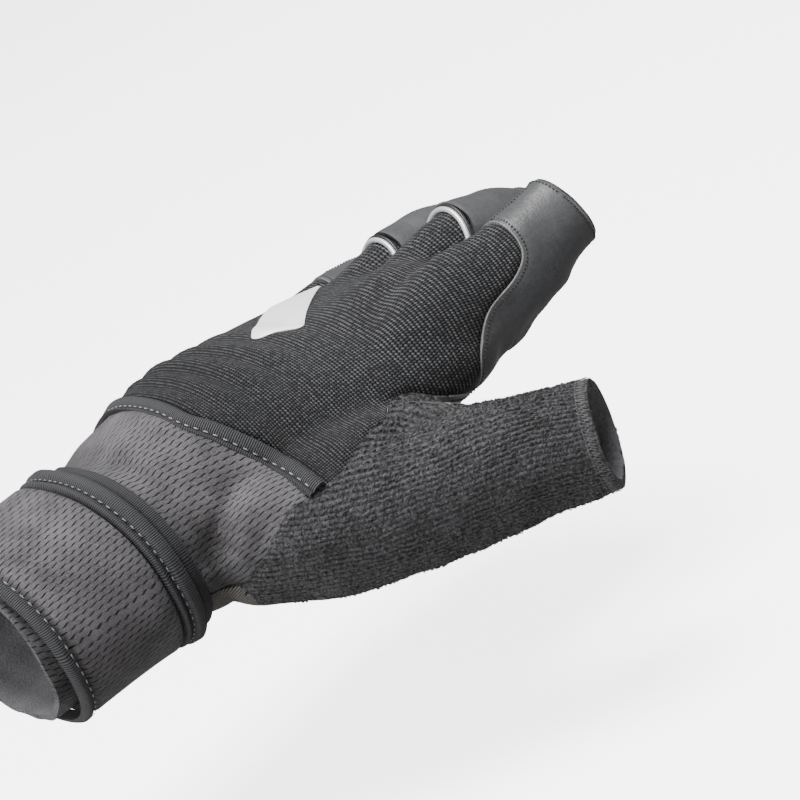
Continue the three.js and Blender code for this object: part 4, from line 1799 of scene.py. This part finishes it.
@dataclass
class TowelLoops:
    """The loops that stand up all over the towelling of the thumb."""

    shop: Workshop
    stall: bpy.types.Object
    row: float = 1.5
    pitch: float = 0.9
    width: float = 0.4
    yarn: float = 0.2
    rise: float = 0.34

    def spots(self) -> list[tuple[Array, Array, Array]]:
        """Where the loops stand, in rows along the thumb.

        Returns:
            A foot, an outward direction and a direction along the thumb for each loop.
        """
        mesh = self.stall.data
        outer = [p for p in mesh.polygons if p.material_index == 0 and p.area > 0.2 * MM * MM]
        centres = np.array([p.center for p in outer]) / MM
        normals = np.array([p.normal for p in outer])
        skin = self.shop.skin
        along, around = skin.thumb_threads(centres)
        t, _ = skin.thumb.nearest(centres)
        ways, _, _ = skin.thumb.axes(t)
        centre, out, _ = Panels.opening(skin.thumb, HEM_LEAN)
        random = np.random.default_rng(7)
        taken, found = set(), []
        for foot, normal, way, a, b in zip(centres, normals, ways, along, around):
            row, place = round(b / self.row), round(a / self.pitch)
            if (row, place) in taken or abs(normal @ way) > 0.9 or (centre - foot) @ out < 3.4:
                continue
            taken.add((row, place))
            side = unit(np.cross(way, normal))
            moved = foot + side * (row * self.row - b + random.normal(0, 0.16))
            moved = moved + way * (place * self.pitch - a + random.normal(0, 0.16))
            found.append((moved, normal, way))
        return found

    def one(self) -> bpy.types.Mesh:
        """One loop of yarn, an arch that stands on its two feet."""
        bm = bmesh.new()
        ring = bmesh.ops.create_circle(bm, segments=4, radius=self.yarn)["verts"]
        bmesh.ops.translate(bm, vec=(self.width, 0, 0), verts=ring)
        bmesh.ops.spin(bm, geom=bm.verts[:] + bm.edges[:], cent=(0, 0, 0), axis=(0, -1, 0), angle=PI, steps=3)
        bmesh.ops.recalc_face_normals(bm, faces=bm.faces)
        bmesh.ops.scale(bm, vec=(1, 1, self.rise / self.width), verts=bm.verts)
        return mesh_of(bm, "loop")

    def build(self) -> None:
        """Makes the loops as one piece."""
        random = np.random.default_rng(11)
        loop = self.one()
        batch = Batch()
        for foot, up, way in self.spots():
            along = unit(way - up * (way @ up))
            side = np.cross(up, along)
            angle = random.normal(0.55, 0.5)
            first = along * np.cos(angle) + side * np.sin(angle)
            wide, tall = random.uniform(0.75, 1.3), random.uniform(0.7, 1.5)
            turn = np.column_stack([first * wide, np.cross(up, first), up * tall, foot - up * 0.12])
            bm = batch.next()
            bm.from_mesh(loop)
            bm.verts.ensure_lookup_table()
            made = bm.verts[-len(loop.vertices):]
            bmesh.ops.transform(bm, matrix=Matrix([*turn.tolist(), [0, 0, 0, 1]]), verts=made)
        whole = batch.whole()
        along, across = self.shop.skin.thumb_threads(vertex_places(whole))
        self.shop.weave(whole, along, across)
        self.shop.finish("towel_loops", whole, [Finish.TOWELLING], "towelling")


class PullLoops:
    """The leather of the middle and ring fingers, whose mouths stand open over the back fabric."""

    FADE = 0.16
    LIFT = 0.25

    def __init__(self, shop: Workshop) -> None:
        """Keeps the shared workshop."""
        self.shop = shop

    def flare(self, finger: Finger, limb: Limb, t: Array, degrees: Array) -> Array:
        """How far the leather stands off the finger."""
        mouth = limb.place_of_x(finger.arch_x)
        top = np.maximum(0, np.sin(np.radians(degrees))) ** 1.1
        return finger.flare * top * smooth((mouth + self.FADE - t) / self.FADE)

    def build(self) -> None:
        """Makes both wraps with their piping."""
        for finger in PULL_FINGERS:
            self._wrap(finger)
            self._roll(finger, "piping", -1.5, -0.75, 0.8, Finish.PIPING)
            # The rim cord is the darker hem leather: partly a dark leather edge, partly painted shadow under
            # the piping.
            self._roll(finger, "rim", -0.5, -0.3, 0.62, Finish.HEM)
            self._hem(finger)

    def _wrap(self, finger: Finger) -> None:
        """One finger's leather tube, cut along the tongue's edge."""
        limb = self.shop.skin.fingers[finger.name]

        def place(a: Array, b: Array) -> Array:
            t, degrees = 0.3 + 0.7 * b, 360 * a
            return limb.point(t, degrees, self.LIFT + self.flare(finger, limb, t, degrees))

        source = grid_mesh(120, 90, place)
        bmesh.ops.recalc_face_normals(source, faces=source.faces)
        mesh = mesh_of(source, "wrap")
        points = coordinates(mesh)
        back = outline_distance(points[:, [0, 2]], self.shop.zones.tongue(finger))
        bm = cut_panel(mesh, both(finger.fold_x - points[:, 0], -back))
        keep_largest(bm)
        inside = depth_inside(bm)
        t, degrees = limb.nearest(vertex_places(bm))
        self.shop.weave(bm, t * limb.length(), np.radians(degrees) * FINGER_RADIUS, inside + 0.6)
        thicken(self.shop, f"{finger.name}_wrap", bm, Finish.LEATHER, "leather", PULL_WALL)

    def _roll(
        self, finger: Finger, name: str, ahead: float, out: float, radius: float, finish: Finish
    ) -> None:
        """A round cord along a mouth.

        Args:
            finger: the finger.
            name: the piece's name after the finger's.
            ahead: how far it lies beyond the leather's edge, along X.
            out: how far it lies outside the leather's inner face.
            radius: its radius.
            finish: its finish.
        """
        limb = self.shop.skin.fingers[finger.name]
        degrees = np.linspace(14, 166, 60)
        x = Zones.rim_x(finger, np.sin(np.radians(degrees))) + ahead
        t = np.array([limb.place_of_x(v) for v in x])
        path = limb.point(t, degrees, finger.flare + out)
        bm = sweep(path, unit(path - limb.at(t)), round_section(radius), 16)
        self.shop.weave(bm, *sweep_threads(bm, path))
        slot, node = ("silver", f"{finger.name}_pull") if finish is Finish.PIPING else ("leather", None)
        self.shop.finish(f"{finger.name}_{name}", bm, [finish], slot, node)

    def _hem(self, finger: Finger) -> None:
        """The rolled hem at the fingertip's end, with its stitches."""
        limb = self.shop.skin.fingers[finger.name]
        degrees = np.linspace(0, 360, 90)[:-1]
        ones = np.ones(len(degrees))
        points = limb.point(ones, degrees, self.LIFT)
        normals = unit(points - limb.at(ones))
        roll_hem(self.shop, finger.name, points, normals)
        inner = limb.point(ones * (1 - 1.5 / limb.length()), degrees, 0.27)
        thread = Stitches(self.shop)
        thread.lay(np.vstack([inner, inner[:2]]), np.vstack([normals, normals[:2]]), PULL_HEM_SEWING)
        thread.build(f"{finger.name}_hem_stitches", Finish.BLACK_THREAD, "tape")


def round_section(radius: float) -> Field:
    """A round section, as sideways and outwards offsets for shares of the way round."""
    return lambda a: radius * np.stack([np.cos(2 * PI * a), np.sin(2 * PI * a)], axis=-1)


def sweep(path: Array, normals: Array, section: Field, across: int) -> BM:
    """A solid strip with one section along a path, with its ends closed.

    Args:
        path: the points of the path.
        normals: the direction outwards at each.
        section: gives sideways and outwards offsets for shares of the way round.
        across: faces round the section.

    Returns:
        The strip.
    """
    ahead = tangents(path)
    side = unit(np.cross(ahead, normals))
    up = np.cross(side, ahead)

    def place(a: Array, b: Array) -> Array:
        i = np.rint(b * (len(path) - 1)).astype(int)
        offset = section(a)
        return path[i] + side[i] * offset[:, :1] + up[i] * offset[:, 1:]

    return closed_tube(across, len(path) - 1, place)


def over_and_under(a: Array) -> tuple[Array, Array]:
    """Whether a share of the way round a flat band is on its top, and the share over its width."""
    top = a < 0.5
    return top, np.where(top, a * 2, 2 - a * 2)


def cushion(share: Array, crown: float, edge: float) -> Array:
    """A height over a band's width that rises steeply from both edges."""
    return crown * np.clip(np.minimum(share, 1 - share) / edge, 0, 1) ** 0.45


def sweep_threads(bm: BM, path: Array) -> tuple[Array, Array, Array]:
    """Lengths along and away from a path for a strip's vertices, with a distance from the edge."""
    length = run_length(path)
    ahead = tangents(path)
    places = vertex_places(bm)
    index, distance = nearest_index(places, path)
    offset = places - path[index]
    along = length[index] + (offset * ahead[index]).sum(axis=1)
    return along, distance, np.full(len(places), 2.0)


@dataclass
class WristStrap:
    """The mesh strap that winds round the wrist, with a folded tape along each edge."""

    shop: Workshop
    edge: float = 50.0
    width: float = 42.0
    near: float = 7.2
    far: float = 4.0
    gap: float = 0.1
    steps: int = 320

    def lap(self, turned: Array) -> Array:
        """How far the band lies off the wrist, more where it lies on its own start."""
        return STRAP_CLEAR + smooth((turned - 338) / 44) * 2.7 - smooth((turned - 572) / 26) * 0.5

    @staticmethod
    def body(turned: Array) -> Array:
        """The share of its height that the band has left towards its two flattened ends."""
        return (0.2 + 0.8 * smooth(turned / 22)) * (0.15 + 0.85 * smooth((STRAP_TURN - turned) / 3.5))

    def shift(self, turned: Array) -> Array:
        """How far the band is moved along X."""
        return read_rows([r[0] for r in STRAP_COURSE], [r[1] for r in STRAP_COURSE], turned)

    def point(self, turned: Array, x: Array, out: Array) -> Array:
        """Points of the wound band.

        Args:
            turned: degrees from its start.
            x: place on the first turn.
            out: distance off its inner face.

        Returns:
            The points.
        """
        return body_point(x + self.shift(turned), STRAP_START + turned, self.lap(turned) + out, folded=False)

    def band(
        self, name: str, low: float, high: float, height: Field, finish: Finish, slot: str, across: int
    ) -> bpy.types.Object:
        """One band of the strap.

        Args:
            name: the piece's name and its CAD node.
            low: X of its first edge.
            high: X of its second edge.
            height: outer height over its width, from 0 at low to 1 at high.
            finish: its finish.
            slot: the record's material slot.
            across: faces over its width.

        Returns:
            The piece.
        """

        def place(a: Array, b: Array) -> Array:
            turned = STRAP_TURN * b
            top, share = over_and_under(a)
            out = np.where(top, height(share), 0.0) * self.body(turned)
            return self.point(turned, low + (high - low) * share, out)

        bm = closed_tube(2 * across, self.steps, place)
        places = vertex_places(bm)
        _, angle = self.shop.chart.place(places)
        around = np.radians(angle) * WRIST_RADIUS
        if finish is Finish.TAPE:
            self.shop.weave(bm, around, places[:, 0], 2.0)
        else:
            self.shop.weave(bm, places[:, 0], around, 2.0)
        return self.shop.finish(f"{name}_cover", bm, [finish], slot, name)

    def folded_tape(self, share: Array) -> Array:
        """The near tape: a full fold at the edge, a stitched groove and a narrow lip."""
        fold = cushion(np.clip((share - 0.34) / 0.66, 0, 1), 2.4, 0.3)
        lip = cushion(np.clip(share / 0.3, 0, 1), 1.9, 0.4)
        floor = cushion(share, 0.9, 0.1)
        return np.maximum(np.maximum(fold, lip), floor)

    def build(self) -> None:
        """Makes the strap and its tapes."""
        inner = self.edge - self.near
        outer = self.edge - self.width
        near = self.band("strap_binding", inner, self.edge, self.folded_tape, Finish.TAPE, "tape", 20)
        far = self.band(
            "strap_edge", outer, outer + self.far, lambda s: cushion(s, 2.2, 0.4), Finish.TAPE, "tape", 10
        )
        cloth = self.band(
            "wrist_strap", outer + self.far + self.gap, inner - self.gap, lambda s: cushion(s, 1.7, 0.06),
            Finish.KNIT_MESH, "mesh", 30,
        )
        self.stitch(inner + 0.36 * self.near, 1.45)
        self.stitch(outer + self.far * 0.8, 2.0)

    def stitch(self, x: float, out: float) -> None:
        """Sews one line of long stitches round the strap, at X on its first turn, out off its face."""
        turned = np.linspace(4, STRAP_TURN - 4, 700)
        at, height = np.full(len(turned), x), out * self.body(turned)
        path = self.point(turned, at, height)
        up = unit(self.point(turned, at, height + 1.0) - path)
        thread = Stitches(self.shop)
        thread.lay(path, up, STRAP_SEWING)
        thread.build(f"strap_stitches_{round(x)}", Finish.GREY_THREAD, "tape")


@dataclass
class BackBinding:
    """The ribbed tape over the wrist edge of the back fabric, with its lip and stitches."""

    shop: Workshop
    width: float = 5.6
    thick: float = 1.3

    def edge_path(self) -> tuple[Array, Array]:
        """The cuff's edge on the skin, from the thumb's side over the back to the little finger's side.

        Returns:
            Its points and the skin's normals.
        """
        thumb_side = flat_curve(CUFF_EDGE_THUMB, 80)
        little_side = flat_curve(CUFF_EDGE_LITTLE, 80)
        low = thumb_side[(thumb_side[:, 1] < 25) & (thumb_side[:, 1] > 0.4)][::-1]
        high = little_side[(little_side[:, 1] < 24) & (little_side[:, 1] > -7)]
        sides = [
            self.shop.skin.seen_from(
                np.column_stack([line[:, 0], np.full(len(line), -way * 200.0), line[:, 1]]),
                np.tile((0.0, way, 0.0), (len(line), 1)),
            )
            for line, way in ((low, 1.0), (high, -1.0))
        ]
        top = np.linspace(-21, 21, 50)
        over = self.shop.skin.seen_from_above(np.column_stack([np.full(50, 72.6), top]))
        return self.shop.skin.project(np.vstack([sides[0], over, sides[1]]))

    def build(self) -> None:
        """Makes the tape."""
        path, _ = self.edge_path()
        path = soften(resample(path, 1.2), 8)
        path, normals = self.shop.skin.project(path)
        ahead = tangents(path)
        side = unit(np.cross(normals, ahead))
        rows = 18
        laid = np.array([
            self.shop.skin.project(path + side * (share * self.width - 0.6))[0]
            for share in np.linspace(0, 1, rows + 1)
        ])

        def height(share: Array) -> Array:
            fold = cushion(np.clip(share / 0.7, 0, 1), self.thick, 0.3)
            lip = cushion(np.clip((share - 0.74) / 0.26, 0, 1), self.thick * 0.85, 0.4)
            return np.maximum(np.maximum(fold, lip), cushion(share, 0.35, 0.1))

        def place(a: Array, b: Array) -> Array:
            top, share = over_and_under(a)
            i = np.rint(share * rows).astype(int)
            j = np.rint(b * (len(path) - 1)).astype(int)
            out = np.where(top, 0.25 + height(share), 0.1)
            return laid[i, j] + normals[j] * out[:, None]

        bm = closed_tube(2 * rows, len(path) - 1, place)
        self.shop.weave(bm, *sweep_threads(bm, path))
        self.shop.finish("back_tape", bm, [Finish.TAPE], "tape", "back_binding")
        row = round(0.68 * rows)
        thread = Stitches(self.shop)
        thread.lay(laid[row] + normals * 0.95, normals, BACK_SEWING)
        thread.build("back_tape_stitches", Finish.GREY_THREAD, "tape")


@dataclass
class BackPatch:
    """The plain silver patch on the back of the hand."""

    shop: Workshop
    x: float = 127.0
    y: float = 6.0
    length: float = 50.0
    width: float = 15.0
    turn: float = 50.0
    corner: float = 3.0
    thick: float = 0.5

    def build(self) -> None:
        """Makes the patch, laid on the back fabric."""
        bm = bmesh.new()
        bmesh.ops.create_grid(bm, x_segments=50, y_segments=16, size=0.5)
        bmesh.ops.scale(bm, vec=(self.length, self.width, 1), verts=bm.verts)
        half = np.array([self.length / 2 - self.corner, self.width / 2 - self.corner])
        flat = np.array([(v.co.x, v.co.y) for v in bm.verts])
        over = np.maximum(np.abs(flat) - half, 0)
        reach = np.linalg.norm(over, axis=1)
        square = np.maximum(over.max(axis=1), 1e-9)
        rounded = over * (square / np.maximum(reach, 1e-9))[:, None]
        pulled = np.sign(flat) * (np.minimum(np.abs(flat), half) + rounded)
        angle = np.radians(self.turn)
        turned = pulled @ np.array([[np.cos(angle), np.sin(angle)], [-np.sin(angle), np.cos(angle)]])
        laid = self.shop.skin.seen_from_above(turned + (self.x, self.y))
        edge = self.corner - np.where(over.max(axis=1) > 0, np.minimum(square, self.corner), 0.0)
        for v, p, rim in zip(bm.verts, laid, edge):
            v.co = p + np.array([0, 0, 0.3 + 0.5 * min(1.0, rim / 0.6) ** 0.5])
        bm.normal_update()
        self.shop.weave(bm, pulled[:, 0], pulled[:, 1], edge)
        bmesh.ops.solidify(bm, geom=list(bm.faces), thickness=self.thick)
        self.shop.finish("silver_patch", bm, [Finish.SILVER], "silver", "back_patch")


# ---------------------------------------------------------------- studio


@dataclass(frozen=True)
class Studio:
    """The pale floor, soft light and camera of the photograph."""

    azimuth: float = -27.173
    elevation: float = 19.76
    roll: float = 27.121
    distance: float = 680.0
    focal: float = 2487.49
    target: tuple[float, float, float] = (107.0, -20.0, 5.0)
    centre: tuple[float, float] = (316.997, 415.015)
    pixels: float = 800.0
    sensor: float = 36.0
    drop: float = 95.0
    light_distance: float = 1.3

    def axes(self) -> tuple[Array, Array, Array]:
        """The camera's directions to the right, up and back."""
        az, el, roll = np.radians([self.azimuth, self.elevation, self.roll])
        back = np.array([np.sin(az) * np.cos(el), -np.cos(az) * np.cos(el), np.sin(el)])
        right = np.array([np.cos(az), np.sin(az), 0.0])
        up = np.cross(back, right)
        return right * np.cos(roll) - up * np.sin(roll), right * np.sin(roll) + up * np.cos(roll), back

    def camera(self) -> None:
        """Sets the camera at the photograph's angle."""
        right, up, back = self.axes()
        data = bpy.data.cameras.new("camera")
        data.sensor_width = self.sensor
        data.lens = self.focal / self.pixels * self.sensor
        data.shift_x = (self.pixels / 2 - self.centre[0]) / self.pixels
        data.shift_y = (self.centre[1] - self.pixels / 2) / self.pixels
        data.clip_end = 20
        camera = added("camera", data)
        eye = (np.array(self.target) + back * self.distance) * MM
        camera.matrix_world = Matrix(
            [[right[k], up[k], back[k], eye[k]] for k in range(3)] + [[0, 0, 0, 1]]
        )
        bpy.context.scene.camera = camera

    def light(self, name: str, towards: Array, size: float, power: float) -> None:
        """A square soft light that faces the glove.

        Args:
            name: its name.
            towards: the direction from the glove to the light.
            size: its side in metres.
            power: its power in watts.
        """
        data = bpy.data.lights.new(name, "AREA")
        data.size = size
        data.energy = power
        light = added(name, data)
        way = unit(np.asarray(towards, float))
        light.location = np.array(self.target) * MM + way * self.light_distance
        light.rotation_euler = Vector(way).to_track_quat("Z", "Y").to_euler()

    def floor(self) -> None:
        """The pale floor below the glove."""
        bm = bmesh.new()
        bmesh.ops.create_grid(bm, x_segments=1, y_segments=1, size=6)
        bmesh.ops.translate(bm, vec=(0.1, 0, -self.drop * MM), verts=bm.verts)
        mesh = mesh_of(bm, "floor")
        g = Graph("floor")
        tone = g.mix((0.93, 0.93, 0.93), (0.9, 0.9, 0.9), g.noise(g.place(), 2.0, 1))
        mesh.materials.append(g.surface(
            Base_Color=tone, Roughness=0.9, Emission_Color=(1, 1, 1, 1), Emission_Strength=3.4,
        ))
        floor = added("floor", mesh)
        floor.visible_diffuse = False
        floor.visible_glossy = False

    def build(self) -> None:
        """Sets up the whole studio."""
        right, up, back = self.axes()
        self.camera()
        self.floor()
        self.light("key", up * 1.0 - right * 0.45 + back * 0.5, 0.6, 46)
        self.light("side", -right * 0.9 + back * 0.8 - up * 0.4, 0.8, 22)
        self.light("rim", right * 0.9 + up * 0.5 - back * 0.1, 0.7, 8)
        self.light("fill", -up * 1.0 + back * 0.5 + right * 0.2, 1.2, 32)
        world = bpy.data.worlds.new("studio")
        world.use_nodes = True
        background = world.node_tree.nodes["Background"].inputs
        background["Color"].default_value = (1, 1, 1, 1)
        background["Strength"].default_value = 0.36
        bpy.context.scene.world = world


def main() -> None:
    """Builds the glove in order and sets it in its studio."""
    logging.basicConfig(level=logging.INFO, format="%(message)s", stream=sys.stdout)
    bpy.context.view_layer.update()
    Studio().build()
    chart = BodyChart()
    skin = Skin(chart)
    shop = Workshop(skin, Zones(), chart)
    Panels(shop).build()
    PullLoops(shop).build()
    WristStrap(shop).build()
    BackBinding(shop).build()
    BackPatch(shop).build()


if __name__ == "__main__":
    main()
